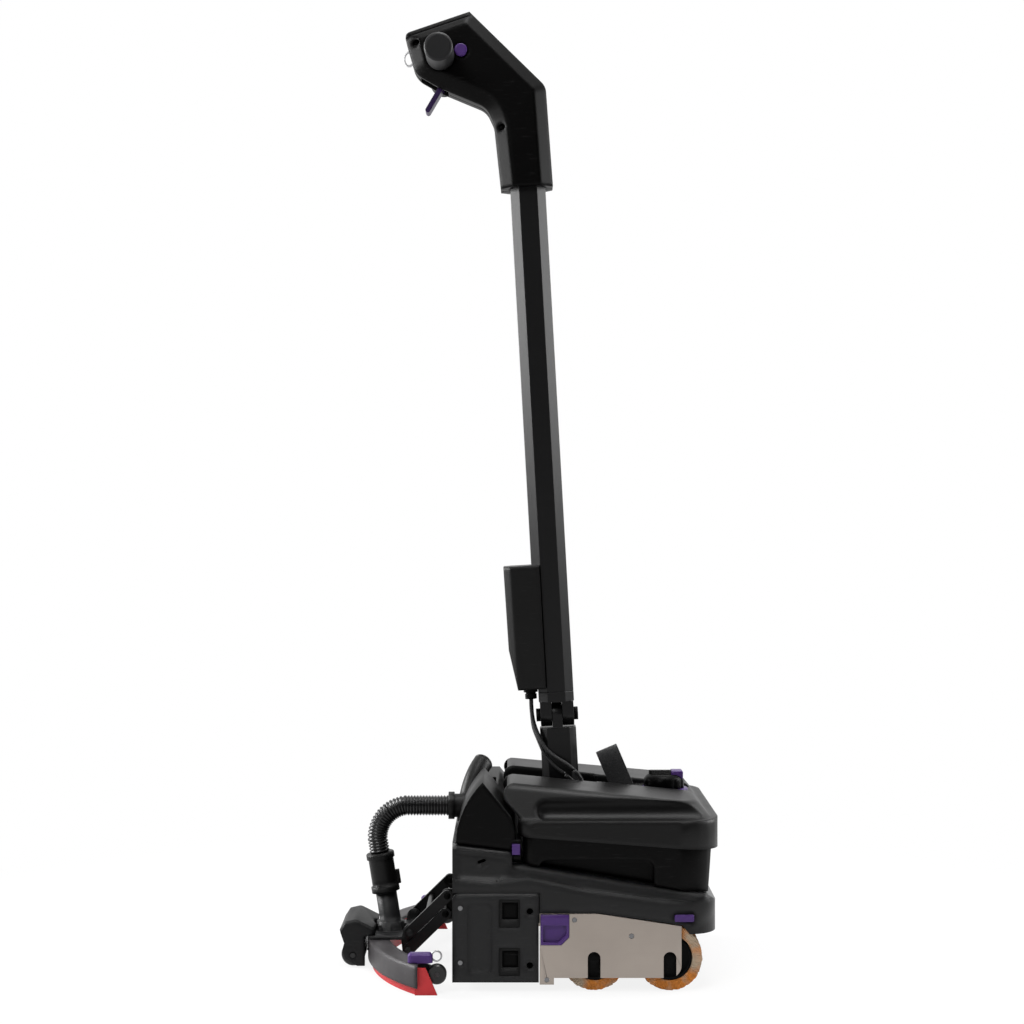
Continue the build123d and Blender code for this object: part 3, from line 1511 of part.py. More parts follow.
front_band = build_bow(bow_r - flange_depth + blade_t + 2.0, blade_t, 1.0, blade_top, side_roller_y - 20.0)
with BuildPart() as front_blade:
    add(front_band)
save(front_blade, "front_blade")

# Squeegee body: base plate, ribbed socket, leaning suction pipe and the lugs of the lift arms
plate_low = carrier_top
plate_high = carrier_top + 4.0
plate_rear = -186.0
plate_front = -122.0
body_plate_half = 46.0
socket_r = 17.0
with BuildPart() as squeegee_body:
    with BuildSketch(level(plate_low)):
        with Locations(((plate_rear + plate_front) / 2, 0)):
            RectangleRounded(plate_front - plate_rear, 2 * body_plate_half, 6.0)
    extrude(amount=plate_high - plate_low)
    with BuildSketch(level(plate_high)):
        with Locations((pipe_x, 0)):
            Circle(socket_r)
    extrude(amount=pipe_z - plate_high, taper=4)
    with BuildSketch(level(plate_high)):
        with Locations((pipe_x, 0)):
            with PolarLocations(0, 8):
                Rectangle(2 * socket_r + 4.0, 2.5)
    extrude(amount=pipe_z - plate_high - 3.0)
    with BuildSketch(pipe_plane(-4.0)):
        Circle(pipe_r)
    extrude(amount=pipe_rise + 4.0 + 12.0)
    for near in (arm_in, -arm_in + arm_t):
        with BuildSketch(side_plane(near)):
            with BuildLine():
                Polyline((arm_feet[0][0] + 8.0, plate_low), (arm_feet[0][0] + 8.0, arm_feet[0][1]),
                         (arm_feet[0][0] - 8.0, arm_feet[0][1]), (arm_feet[1][0] - 8.0, plate_low),
                         (arm_feet[1][0] - 7.0, arm_feet[1][1]), (arm_feet[1][0] + 7.0, arm_feet[1][1]),
                         close=True)
            make_face()
            with Locations(arm_feet[0]):
                Circle(8.0)
            with Locations(arm_feet[1]):
                Circle(7.0)
        extrude(amount=arm_t)
    for near in (arm_near + arm_t + 1.0, -arm_in):
        with BuildSketch(side_plane(near)):
            with Locations(arm_feet[0]):
                Circle(pin_r)
            with Locations(arm_feet[1]):
                Circle(pin_r - 0.2)
        extrude(amount=arm_t + 1.0 + run_gap)
    with BuildSketch(pipe_plane(-20.0)):
        Circle(elbow_bore_r)
    extrude(amount=pipe_rise + 40.0, mode=Mode.SUBTRACT)
save(squeegee_body, "squeegee_body")

# Cuff that joins the hose to the pipe
cuff_r = 15.0
cuff_lap = 12.0
cuff_play = 0.9  # room for the cuff to shift on the pipe as the hose swings
with BuildPart() as hose_cuff:
    with BuildSketch(pipe_plane(pipe_rise)):
        Circle(cuff_r)
    extrude(amount=cuff_rise)
    for rise in (pipe_rise, pipe_rise + cuff_rise - 7.0):
        with BuildSketch(pipe_plane(rise)):
            Circle(cuff_r + 1.8)
        extrude(amount=7.0)
    with BuildSketch(pipe_plane(pipe_rise + 7.0)):
        with Locations((0, -cuff_r)):
            Rectangle(6.0, 9.0)
    extrude(amount=cuff_rise / 2 - 7.0)
    chamfer(hose_cuff.edges().filter_by(GeomType.CIRCLE).sort_by(Axis.Z)[-1], 1.0)
    with BuildSketch(pipe_plane(pipe_rise)):
        Circle(pipe_r + cuff_play)
    extrude(amount=cuff_lap + 2 * cuff_play, mode=Mode.SUBTRACT)
    with BuildSketch(pipe_plane(pipe_rise)):
        Circle(elbow_bore_r)
    extrude(amount=cuff_rise, mode=Mode.SUBTRACT)
save(hose_cuff, "hose_cuff")

# Guard over the transport roller
guard_rear = -half_length
guard_half = 43.0
guard_low = plate_high
guard_top = 57.0
guard_front = 41.0 - half_length
cheek_low = 2.5  # the cheeks end this far above the floor
cheek_t = 6.0
with BuildPart() as wheel_guard:
    with BuildSketch(side_plane(guard_half)):
        with BuildLine():
            Polyline((guard_front, guard_low), (guard_front, guard_top - 11.0), (guard_front - 22.0, guard_top),
                     (guard_rear + 6.0, guard_top - 3.0), (guard_rear, guard_top - 12.0),
                     (guard_rear + 5.0, roller_z + roller_r + 1.0), (bow_rear - 1.5, roller_z + roller_r + 1.0),
                     (bow_rear - 1.5, guard_low), close=True)
        make_face()
    extrude(amount=2 * guard_half)
    fillet(wheel_guard.edges().filter_by(Axis.Y).sort_by(Axis.Z)[-1:], 8.0)
    chamfer(wheel_guard.faces().filter_by(Axis.Y).edges().filter_by(lambda edge: edge.center().Z > guard_low), 2.5)
    with BuildSketch(side_plane(guard_half - cheek_t)):
        with BuildLine():
            Polyline((bow_rear - 6.0, roller_z), (bow_rear - 6.0, guard_top - 10.0), (guard_rear + 12.0, guard_top - 9.0),
                     (guard_rear + 6.0, guard_top - 15.0), (guard_rear + 10.0, roller_z), close=True)
        make_face()
    extrude(amount=2 * (guard_half - cheek_t), mode=Mode.SUBTRACT)
    for near in (guard_half - 1.0, -guard_half + cheek_t):
        with BuildSketch(side_plane(near)):
            with BuildLine():
                Polyline((guard_rear + 6.0, roller_z + roller_r + 3.0), (bow_rear - 1.5, roller_z + roller_r + 3.0),
                         (bow_rear - 1.5, cheek_low), (roller_x + 5.0, cheek_low),
                         (guard_rear + 7.0, roller_z - 4.0), (guard_rear + 3.0, roller_z + 6.0), close=True)
            make_face()
            with Locations((roller_x, roller_z)):
                Circle(axle_r + pin_gap, mode=Mode.SUBTRACT)
        extrude(amount=cheek_t - 1.0)
    with BuildSketch(level(guard_low)):
        with Locations((pipe_x, 0)):
            Circle(socket_r + 4.0)
    extrude(amount=pipe_z - guard_low + 1.0, mode=Mode.SUBTRACT)
    with BuildSketch(pipe_plane(-4.0)):
        Circle(pipe_r + 3.0)
    extrude(amount=guard_top - guard_low, mode=Mode.SUBTRACT)
save(wheel_guard, "wheel_guard")

with BuildPart() as transport_roller:
    with BuildSketch(side_plane(roller_half)):
        with Locations((roller_x, roller_z)):
            Circle(roller_r)
    extrude(amount=2 * roller_half)
    chamfer(transport_roller.edges().filter_by(GeomType.CIRCLE), 1.5)
    with BuildSketch(side_plane(guard_half)):
        with Locations((roller_x, roller_z)):
            Circle(axle_r)
    extrude(amount=2 * guard_half)
save(transport_roller, "transport_roller")

# Clamp knobs at the carrier's ends


def build_knob(side):
    """Lever knob standing on the carrier's flange, its long end forwards."""
    with BuildPart() as knob:
        with BuildSketch(level(carrier_top + run_gap)):
            with Locations((knob_x + knob_length / 2 - knob_width / 2, side * knob_y)):
                RectangleRounded(knob_length, knob_width, 5.0)
        extrude(amount=knob_high - carrier_top - run_gap)
        chamfer(knob.faces().sort_by(Axis.Z)[-1].edges(), 2.5)
        with BuildSketch(level(carrier_top - flange_t)):
            with Locations((knob_x, side * knob_y)):
                Circle(axle_r)
        extrude(amount=flange_t + run_gap)
    return knob


clamp_knob_right = build_knob(-1)
save(clamp_knob_right, "clamp_knob_right")
clamp_knob_left = build_knob(1)
save(clamp_knob_left, "clamp_knob_left")

# Cables from the gland down to the deck beside the mast foot
cable_r = 2.5
thin_cable_r = 2.0
cable_bend = 11.0
gland_end = mast_section(box_low - gland_drop - 0.6).from_local_coords((gland_u, 0, 0))
cable_foot_x = bracket_front + 5.5
cable_foot_z = deck_height(cable_foot_x) + 1.0
cable_path = ((gland_end.X, -3.0, gland_end.Z), (gland_end.X, -3.0, gland_end.Z - 18.0), (9.0, -20.0, 268.0),
              (22.0, -27.0, 246.0), (44.0, -29.0, 231.0), (63.0, -29.0, 214.0), (75.0, -29.0, 180.0),
              (cable_foot_x, -29.0, cable_foot_z))
thin_cable_path = ((gland_end.X, 3.0, gland_end.Z), (gland_end.X, 3.0, gland_end.Z - 24.0), (12.0, -12.0, 258.0),
                   (26.0, -20.0, 236.0), (47.0, -22.0, 220.0), (64.0, -22.0, 202.0), (75.0, -22.0, 172.0),
                   (cable_foot_x, -22.0, cable_foot_z))
with BuildPart() as cables:
    for points, radius in ((cable_path, cable_r), (thin_cable_path, thin_cable_r)):
        with BuildLine() as run:
            FilletPolyline(*points, radius=cable_bend)
        with BuildSketch(Plane(points[0], z_dir=(0, 0, -1))):
            Circle(radius)
        sweep(path=run.line)
        print(f"cable: length {run.wires()[0].length:.0f} mm, radius {radius} mm, bend radius {cable_bend} mm")
save(cables, "cables")
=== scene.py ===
"""Upright floor scrubber: finishes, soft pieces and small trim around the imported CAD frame."""

import math

import bmesh
import bpy
from mathutils import Matrix, Vector, noise


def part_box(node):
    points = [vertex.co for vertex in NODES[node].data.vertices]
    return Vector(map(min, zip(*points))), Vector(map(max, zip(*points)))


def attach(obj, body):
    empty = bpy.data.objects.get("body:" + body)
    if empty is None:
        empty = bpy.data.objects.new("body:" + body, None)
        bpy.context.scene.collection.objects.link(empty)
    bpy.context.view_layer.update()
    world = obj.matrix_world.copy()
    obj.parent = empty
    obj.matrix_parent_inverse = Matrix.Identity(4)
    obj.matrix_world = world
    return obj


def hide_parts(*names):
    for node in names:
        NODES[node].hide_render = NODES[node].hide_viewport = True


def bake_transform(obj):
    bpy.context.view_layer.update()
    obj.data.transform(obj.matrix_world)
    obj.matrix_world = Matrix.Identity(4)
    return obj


bl_info = {
    "name": "Floor Scrubber Dressing",
    "version": (1, 0, 0),
    "blender": (4, 5, 0),
    "location": "View3D > Sidebar > Scrubber",
    "description": "Finishes, brushes, hose, cables and trim for an upright floor scrubber",
    "category": "Object",
}

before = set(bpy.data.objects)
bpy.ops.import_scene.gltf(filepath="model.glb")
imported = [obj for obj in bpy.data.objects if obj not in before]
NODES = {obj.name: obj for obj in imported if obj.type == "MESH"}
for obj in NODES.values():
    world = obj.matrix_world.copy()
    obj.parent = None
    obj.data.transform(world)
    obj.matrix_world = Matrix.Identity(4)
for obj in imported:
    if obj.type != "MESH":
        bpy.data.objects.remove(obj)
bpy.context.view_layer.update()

# Brushes: their axes, the tufts around them and the mat of filament between the tufts
BRUSH_AXES = {"front": Vector((0.161, 0, 0.037)), "rear": Vector((0.076, 0, 0.037))}
TUFT_ROWS = 112
TUFTS_AROUND = 124
TUFT_ROOT = 0.0255
TUFT_RADII = (0.0008, 0.0011)
ROW_TURN = 0.35
SWAY = 0.0010
SWAY_SCALE = 420
SWAY_SEED = 1
REACH_MEAN = 0.985
REACH_SPREAD = 0.03
REACH_SCALE = 260
MAT_RADIUS = 0.0342
MAT_INSET = 0.003

# Suction hose: the ends of the CAD bend, and the ribs as (share of a rib, on its crest)
HOSE_COUPLING = Vector((-0.092, 0, 0.185))
HOSE_FOOT = Vector((-0.17448, 0, 0.12898))
HOSE_END_RUN = 0.013
HOSE_TILT = math.radians(9)
HOSE_BEND_POINTS = 5
HOSE_RIBS = 35
HOSE_SPLIT_RIB = 20
HOSE_SIDES = 24
RIB_PROFILE = ((0.0, False), (0.25, True), (0.55, True), (0.80, False))

# Cables: routes from the gland to the deck, clear of the foot, the rear cover and the lid
CABLE_ROUTE = [
    (0.0070, -0.0030, 0.3145), (0.0070, -0.0030, 0.2989), (0.0110, -0.0081, 0.2788), (0.0254, -0.0212, 0.2514),
    (0.0520, -0.0304, 0.2370), (0.0685, -0.0321, 0.2200), (0.0750, -0.0290, 0.1800), (0.0795, -0.0290, 0.1283),
]
THIN_CABLE_ROUTE = [
    (0.0070, 0.0030, 0.3145), (0.0070, 0.0030, 0.2838), (0.0156, -0.0106, 0.2640), (0.0253, -0.0201, 0.2417),
    (0.0547, -0.0304, 0.2205), (0.0707, -0.0234, 0.2042), (0.0750, -0.0220, 0.1720), (0.0795, -0.0220, 0.1283),
]

# Lid strap: its loop as (share of the half width, share of the height), between two sunk feet
STRAP_SHAPE = ((-1, 0.45), (-0.9, 0.98), (0.2, 1.03), (1, 0.86), (1, 0.4))
STRAP_FOOT = 0.1176
STRAP_LEAN = math.radians(23)
STRAP_THICKNESS = 0.0030
STRAP_INSET = 0.0014
STRAP_SINK = 0.008
STRAP_CUT = 0.0006
STRAP_PARTS = 40
STRAP_EDGE = 0.0008
STRAP_CORNER = 1.0

# Rings of bent wire: on the clamp knobs, behind the head, and the rubber lip of the suction port
RING_WIRE = 0.0010
RING_SIDES = 10
RING_STEPS = 28
KNOB_RING_PLACE = Vector((-0.1003, 0.156, 0.0412))
KNOB_RING_RADIUS = 0.0055
LOOP_PLACE = Vector((-0.1395, 0, 1.080))
LOOP_RADIUS = 0.0055
LOOP_STRETCH = 1.5
PORT_PLACE = Vector((-0.05125, 0.03248, 0.23195))
PORT_HEADING = Vector((0.433, 0.75, 0.5))
PORT_LIP_RADIUS = 0.0107
PORT_LIP_WIRE = 0.0016

# Filler cap's tab and strap's anchor plate: sizes, edge rounds and places from the CAD boxes' corners
TAB_SIZE = (0.014, 0.022, 0.0095)
TAB_ROUND = 0.0016
TAB_BACK, TAB_DOWN = 0.0085, 0.0045
ANCHOR_SIZE = (0.016, 0.026, 0.0016)
ANCHOR_ROUND = 0.0004
ANCHOR_BACK, ANCHOR_UP = 0.005, 0.0008

# Linings of the side panels' windows and mounting holes; the black pane behind each window opening is painted shade
# for the window's depth
WINDOW_X = -0.019
WINDOW_ZS = {"low": 0.033, "high": 0.087}
WINDOW_OUTER = Vector((0.0236, 0.0316))
WINDOW_INNER = Vector((0.018, 0.019))
WINDOW_OPENING = Vector((0.001, 0, 0.003))
WINDOW_DEPTH = 0.0016
LINING_THICKNESS = 0.0005
PANE_DEPTH = 0.0016
PANE_THICKNESS = 0.0010
PANE_GAP = 0.0002
PANE_ROUND = 0.0002
HOLE_X = 0.004
HOLE_ZS = {"low": 0.029, "high": 0.0895}
HOLE_RADIUS = 0.00366
HOLE_RECESS = 0.0035
SLEEVE_DEPTH = 0.014
SLEEVE_WALL = 0.0005
SLEEVE_FLOOR = 0.001

# Stage: lamps as (name, place, aim, watts, width), and the camera
LAMPS = (
    ("key", (-1.2, -2.2, 2.4), (0, 0, 0.4), 34, 1.2),
    ("right_rim", (2.0, 0.5, 1.2), (0, 0, 0.5), 36, 1.0),
    ("left_rim", (-2.0, 0.5, 1.1), (0, 0, 0.5), 66, 1.0),
    ("top", (0.2, -0.2, 2.6), (0, 0, 0.2), 44, 1.2),
)
FLOOR_HALF = 6
WORLD_LEVEL = 0.22
CAMERA_X = -0.016
CAMERA_SENSOR = 36
CAMERA_LENS = 65.92
WHITE = (1, 1, 1, 1)


def colour(name, note, default):
    """A colour property of the finishes."""
    return bpy.props.FloatVectorProperty(
        name=name, description=note, default=default, size=4, subtype="COLOR", min=0, max=1
    )


def length(name, note, default):
    """A length property in metres."""
    return bpy.props.FloatProperty(
        name=name, description=note, default=default, min=0, subtype="DISTANCE", unit="LENGTH"
    )


class ScrubberFinishes(bpy.types.PropertyGroup):
    """Colours of the machine's finishes."""

    charcoal: colour("Charcoal", "Satin moulded covers", (0.0062, 0.0062, 0.0068, 1))
    satin: colour("Satin black", "Lid, battery box and bowed pieces", (0.0030, 0.0029, 0.0029, 1))
    tank: colour("Tank black", "Tank and rear cover", (0.0016, 0.0015, 0.0015, 1))
    black: colour("Black", "Handle head and small dark mouldings", (0.0011, 0.0010, 0.0010, 1))
    guard: colour("Guard grey", "Roller guard", (0.0060, 0.0060, 0.0064, 1))
    carrier: colour("Carrier grey", "Bowed squeegee carrier", (0.034, 0.031, 0.033, 1))
    violet: colour("Violet", "Buttons, catches and knobs", (0.050, 0.018, 0.120, 1))
    stainless: colour("Stainless", "Brush side plates", (0.40, 0.350, 0.310, 1))
    anodised: colour("Anodised", "Mast and foot", (0.0028, 0.0027, 0.0030, 1))
    zinc: colour("Zinc", "Pull rings", (0.42, 0.42, 0.43, 1))
    screw: colour("Screw", "Chassis screws", (0.20, 0.20, 0.205, 1))
    red: colour("Red rubber", "Squeegee blades", (0.44, 0.018, 0.022, 1))
    rubber: colour("Black rubber", "Hose, rollers and grips", (0.0045, 0.0045, 0.005, 1))
    clear: colour("Clear plastic", "Loop behind the head", (0.55, 0.55, 0.56, 1))
    webbing: colour("Webbing", "Lid strap", (0.012, 0.012, 0.0125, 1))
    bristle: colour("Bristle", "Coloured brush filament", (0.54, 0.185, 0.030, 1))
    pale_bristle: colour("Pale bristle", "Worn brush filament", (0.38, 0.295, 0.21, 1))
    floor: colour("Floor", "Floor of the stage", (0.82, 0.82, 0.82, 1))


class ScrubberSizes(bpy.types.PropertyGroup):
    """Sizes of the soft pieces and trim."""

    hose_radius: length("Hose radius", "Crest of the hose ribs", 0.0120)
    hose_root: length("Hose root", "Valley between the ribs", 0.0105)
    cable_radius: length("Cable radius", "Main cable", 0.0025)
    thin_cable_radius: length("Thin cable radius", "Signal cable", 0.0020)
    bristle_radius: length("Bristle tip radius", "Reach of the filament from the brush axis", 0.0369)
    strap_width: length("Strap width", "Webbing loop on the lid", 0.0268)
    camera_distance: length("Camera distance", "From the machine's middle plane", 2.25)
    camera_height: length("Camera height", "Above the floor", 0.537)


def finishes():
    """The scene's colour settings."""
    return bpy.context.scene.scrubber_finishes


def sizes():
    """The scene's size settings."""
    return bpy.context.scene.scrubber_sizes


# Shader nodes
def place(tree, kind, sockets=None, **settings):
    """A node of a kind, with its settings and its plain socket values."""
    node = tree.nodes.new(kind)
    for key, value in settings.items():
        setattr(node, key, value)
    for label, value in (sockets or {}).items():
        node.inputs[label].default_value = value
    return node


def wire(tree, *pairs):
    """Links each output to its input."""
    for source, target in pairs:
        tree.links.new(source, target)


def new_group(name, inputs, outputs):
    """An empty shader group with float sockets; inputs map a name to its default."""
    group = bpy.data.node_groups.new(name, "ShaderNodeTree")
    for label, default in inputs.items():
        socket = group.interface.new_socket(label, in_out="INPUT", socket_type="NodeSocketFloat")
        socket.default_value = default
    for label in outputs:
        group.interface.new_socket(label, in_out="OUTPUT", socket_type="NodeSocketFloat")
    return group, group.nodes.new("NodeGroupInput"), group.nodes.new("NodeGroupOutput")


def moulded_grain():
    """Fine leather-like mould texture: height for a bump, and a patchy mask for gloss."""
    if "Moulded grain" in bpy.data.node_groups:
        return bpy.data.node_groups["Moulded grain"]
    group, inside, outside = new_group("Moulded grain", {"Scale": 900.0, "Patch": 18.0}, ["Height", "Patches"])
    where = place(group, "ShaderNodeTexCoord").outputs["Object"]
    cells = place(group, "ShaderNodeTexVoronoi", feature="SMOOTH_F1")
    fine = place(group, "ShaderNodeTexNoise")
    patches = place(group, "ShaderNodeTexNoise", {"Detail": 5})
    height = place(group, "ShaderNodeMath", operation="ADD")
    for node, scale in ((cells, "Scale"), (fine, "Scale"), (patches, "Patch")):
        wire(group, (where, node.inputs["Vector"]), (inside.outputs[scale], node.inputs["Scale"]))
    wire(
        group,
        (cells.outputs["Distance"], height.inputs[0]),
        (fine.outputs["Fac"], height.inputs[1]),
        (height.outputs[0], outside.inputs["Height"]),
        (patches.outputs["Fac"], outside.inputs["Patches"]),
    )
    return group


def dust_and_scuffs():
    """Mask of thin scuffs and of dust that gathers on upward faces."""
    if "Dust and scuffs" in bpy.data.node_groups:
        return bpy.data.node_groups["Dust and scuffs"]
    group, inside, outside = new_group("Dust and scuffs", {"Scuffs": 60.0, "Dust": 220.0}, ["Scuff", "Dust"])
    where = place(group, "ShaderNodeTexCoord").outputs["Object"]
    slant = place(group, "ShaderNodeMapping", {"Scale": (1.0, 6.0, 14.0), "Rotation": (0.4, 0.7, 0.3)})
    streaks = place(group, "ShaderNodeTexNoise", {"Detail": 3})
    scuff = place(group, "ShaderNodeMapRange", {"From Min": 0.63, "From Max": 0.74})
    specks = place(group, "ShaderNodeTexNoise", {"Detail": 8})
    grit = place(group, "ShaderNodeMapRange", {"From Min": 0.5, "From Max": 0.75})
    normal = place(group, "ShaderNodeNewGeometry")
    axis = place(group, "ShaderNodeSeparateXYZ")
    upward = place(group, "ShaderNodeMapRange", {"From Min": 0.35, "From Max": 1.0})
    dust = place(group, "ShaderNodeMath", operation="MULTIPLY")
    wire(
        group,
        (where, slant.inputs["Vector"]),
        (slant.outputs[0], streaks.inputs["Vector"]),
        (inside.outputs["Scuffs"], streaks.inputs["Scale"]),
        (streaks.outputs["Fac"], scuff.inputs["Value"]),
        (scuff.outputs[0], outside.inputs["Scuff"]),
        (where, specks.inputs["Vector"]),
        (inside.outputs["Dust"], specks.inputs["Scale"]),
        (specks.outputs["Fac"], grit.inputs["Value"]),
        (normal.outputs["Normal"], axis.inputs[0]),
        (axis.outputs["Z"], upward.inputs["Value"]),
        (grit.outputs[0], dust.inputs[0]),
        (upward.outputs[0], dust.inputs[1]),
        (dust.outputs[0], outside.inputs["Dust"]),
    )
    return group


def brushed_lines():
    """Long fine lines along X, as brushing or drawing leaves them."""
    if "Brushed lines" in bpy.data.node_groups:
        return bpy.data.node_groups["Brushed lines"]
    group, inside, outside = new_group("Brushed lines", {"Scale": 40.0}, ["Lines", "Patches"])
    where = place(group, "ShaderNodeTexCoord").outputs["Object"]
    stretch = place(group, "ShaderNodeMapping", {"Scale": (0.5, 40.0, 40.0)})
    lines = place(group, "ShaderNodeTexNoise", {"Detail": 4})
    patches = place(group, "ShaderNodeTexNoise", {"Scale": 22})
    wire(
        group,
        (where, stretch.inputs["Vector"]),
        (stretch.outputs[0], lines.inputs["Vector"]),
        (inside.outputs["Scale"], lines.inputs["Scale"]),
        (where, patches.inputs["Vector"]),
        (lines.outputs["Fac"], outside.inputs["Lines"]),
        (patches.outputs["Fac"], outside.inputs["Patches"]),
    )
    return group


def start_material(name, sockets=None):
    """A material with a bare Principled shader; returns (material, tree, shader)."""
    material = bpy.data.materials.new(name)
    material.use_nodes = True
    shader = material.node_tree.nodes["Principled BSDF"]
    for label, value in (sockets or {}).items():
        shader.inputs[label].default_value = value
    return material, material.node_tree, shader


def bump(tree, shader, height, strength, distance, edge=0.0):
    """Feeds a height into the shader's normal, over edges that catch the light as rounds of a radius."""
    node = place(tree, "ShaderNodeBump", {"Strength": strength, "Distance": distance})
    wire(tree, (height, node.inputs["Height"]), (node.outputs[0], shader.inputs["Normal"]))
    if edge:
        rounds = place(tree, "ShaderNodeBevel", {"Radius": edge}, samples=8)
        wire(tree, (rounds.outputs[0], node.inputs["Normal"]))


def tint(tree, mask, low, high):
    """Mixes two tones by a mask; a tone is a colour or another node's output."""
    mix = place(tree, "ShaderNodeMix", data_type="RGBA")
    wire(tree, (mask, mix.inputs["Factor"]))
    for label, tone in (("A", low), ("B", high)):
        if isinstance(tone, bpy.types.NodeSocket):
            wire(tree, (tone, mix.inputs[label]))
        else:
            mix.inputs[label].default_value = tone
    return mix.outputs["Result"]


def between(tree, mask, low, high, socket):
    """Maps a 0..1 mask to a range of values into a socket."""
    spread = place(tree, "ShaderNodeMapRange", {"To Min": low, "To Max": high})
    wire(tree, (mask, spread.inputs["Value"]), (spread.outputs[0], socket))


def lighter(tone, factor, lift=0.0):
    """A colour made lighter or darker."""
    return tuple(min(1, c * factor + lift) for c in tone[:3]) + (1,)


# Finishes
def moulded_plastic(name, tone, rough, grain=900.0, gloss=0.3, dust=0.012, edge=0.007, relief=0.35):
    """Satin moulded plastic: grain, patchy gloss, scuffs and a little dust on upward faces."""
    material, tree, shader = start_material(name, {"Specular IOR Level": gloss})
    grains = place(tree, "ShaderNodeGroup", node_tree=moulded_grain())
    grains.inputs["Scale"].default_value = grain
    marks = place(tree, "ShaderNodeGroup", node_tree=dust_and_scuffs())
    plain = tint(tree, grains.outputs["Patches"], lighter(tone, 0.75), lighter(tone, 1.25))
    dusty = tint(tree, marks.outputs["Dust"], plain, lighter(tone, 1.0, dust))
    scuffed = tint(tree, marks.outputs["Scuff"], dusty, lighter(tone, 1.6, 0.006))
    wire(tree, (scuffed, shader.inputs["Base Color"]))
    between(tree, grains.outputs["Patches"], rough - 0.07, rough + 0.09, shader.inputs["Roughness"])
    bump(tree, shader, grains.outputs["Height"], relief, 0.00008, edge)
    return material


def brushed_metal(name, tone, rough, metallic=1.0, patch=0.25, lines=40.0, gloss=0.5):
    """Brushed or drawn metal, with stains where hands and water reach."""
    material, tree, shader = start_material(name, {"Metallic": metallic, "Specular IOR Level": gloss})
    brush = place(tree, "ShaderNodeGroup", node_tree=brushed_lines())
    brush.inputs["Scale"].default_value = lines
    stained = tint(tree, brush.outputs["Patches"], lighter(tone, 1 - patch), lighter(tone, 1 + patch / 2))
    wire(tree, (stained, shader.inputs["Base Color"]))
    between(tree, brush.outputs["Lines"], rough - 0.08, rough + 0.12, shader.inputs["Roughness"])
    bump(tree, shader, brush.outputs["Lines"], 0.18, 0.00006)
    return material


def soft_rubber(name, tone, rough, gloss=0.35):
    """Rubber: even tone, faint bloom and tiny pits."""
    material, tree, shader = start_material(name, {"Specular IOR Level": gloss})
    grains = place(tree, "ShaderNodeGroup", node_tree=moulded_grain())
    grains.inputs["Scale"].default_value = 1500
    grains.inputs["Patch"].default_value = 35
    bloom = tint(tree, grains.outputs["Patches"], lighter(tone, 0.8), lighter(tone, 1.3, 0.002))
    wire(tree, (bloom, shader.inputs["Base Color"]))
    between(tree, grains.outputs["Patches"], rough - 0.06, rough + 0.1, shader.inputs["Roughness"])
    bump(tree, shader, grains.outputs["Height"], 0.2, 0.00005)
    return material


def filament(name, tone, pale):
    """Drawn brush filament, worn pale in patches."""
    material, tree, shader = start_material(name, {"Specular IOR Level": 0.25})
    where = place(tree, "ShaderNodeTexCoord").outputs["Object"]
    fine = place(tree, "ShaderNodeTexNoise", {"Scale": 420, "Detail": 4})
    patches = place(tree, "ShaderNodeTexNoise", {"Scale": 38, "Detail": 5})
    worn = place(tree, "ShaderNodeMapRange", {"From Min": 0.48, "From Max": 0.66})
    wire(
        tree,
        (where, fine.inputs["Vector"]),
        (where, patches.inputs["Vector"]),
        (patches.outputs["Fac"], worn.inputs["Value"]),
    )
    strands = tint(tree, fine.outputs["Fac"], lighter(tone, 0.55), lighter(tone, 1.3))
    wire(tree, (tint(tree, worn.outputs[0], strands, pale), shader.inputs["Base Color"]))
    between(tree, fine.outputs["Fac"], 0.55, 0.8, shader.inputs["Roughness"])
    return material


def felt_webbing(name, tone):
    """Fuzzy hook-and-loop webbing: woven ribs under a nap of fine fibres."""
    material, tree, shader = start_material(name, {"Specular IOR Level": 0.1, "Sheen Weight": 0.35})
    where = place(tree, "ShaderNodeTexCoord").outputs["Object"]
    ribs = place(tree, "ShaderNodeTexWave", {"Scale": 320, "Distortion": 6}, bands_direction="Z")
    nap = place(tree, "ShaderNodeTexNoise", {"Scale": 650, "Detail": 6})
    weave = place(tree, "ShaderNodeMath", operation="MULTIPLY")
    wire(
        tree,
        (where, ribs.inputs["Vector"]),
        (where, nap.inputs["Vector"]),
        (ribs.outputs["Fac"], weave.inputs[0]),
        (nap.outputs["Fac"], weave.inputs[1]),
    )
    woven = tint(tree, weave.outputs[0], lighter(tone, 0.25), lighter(tone, 5.5))
    wire(tree, (woven, shader.inputs["Base Color"]))
    between(tree, nap.outputs["Fac"], 0.85, 1.0, shader.inputs["Roughness"])
    bump(tree, shader, weave.outputs[0], 0.8, 0.0006)
    return material


FINISH = {}


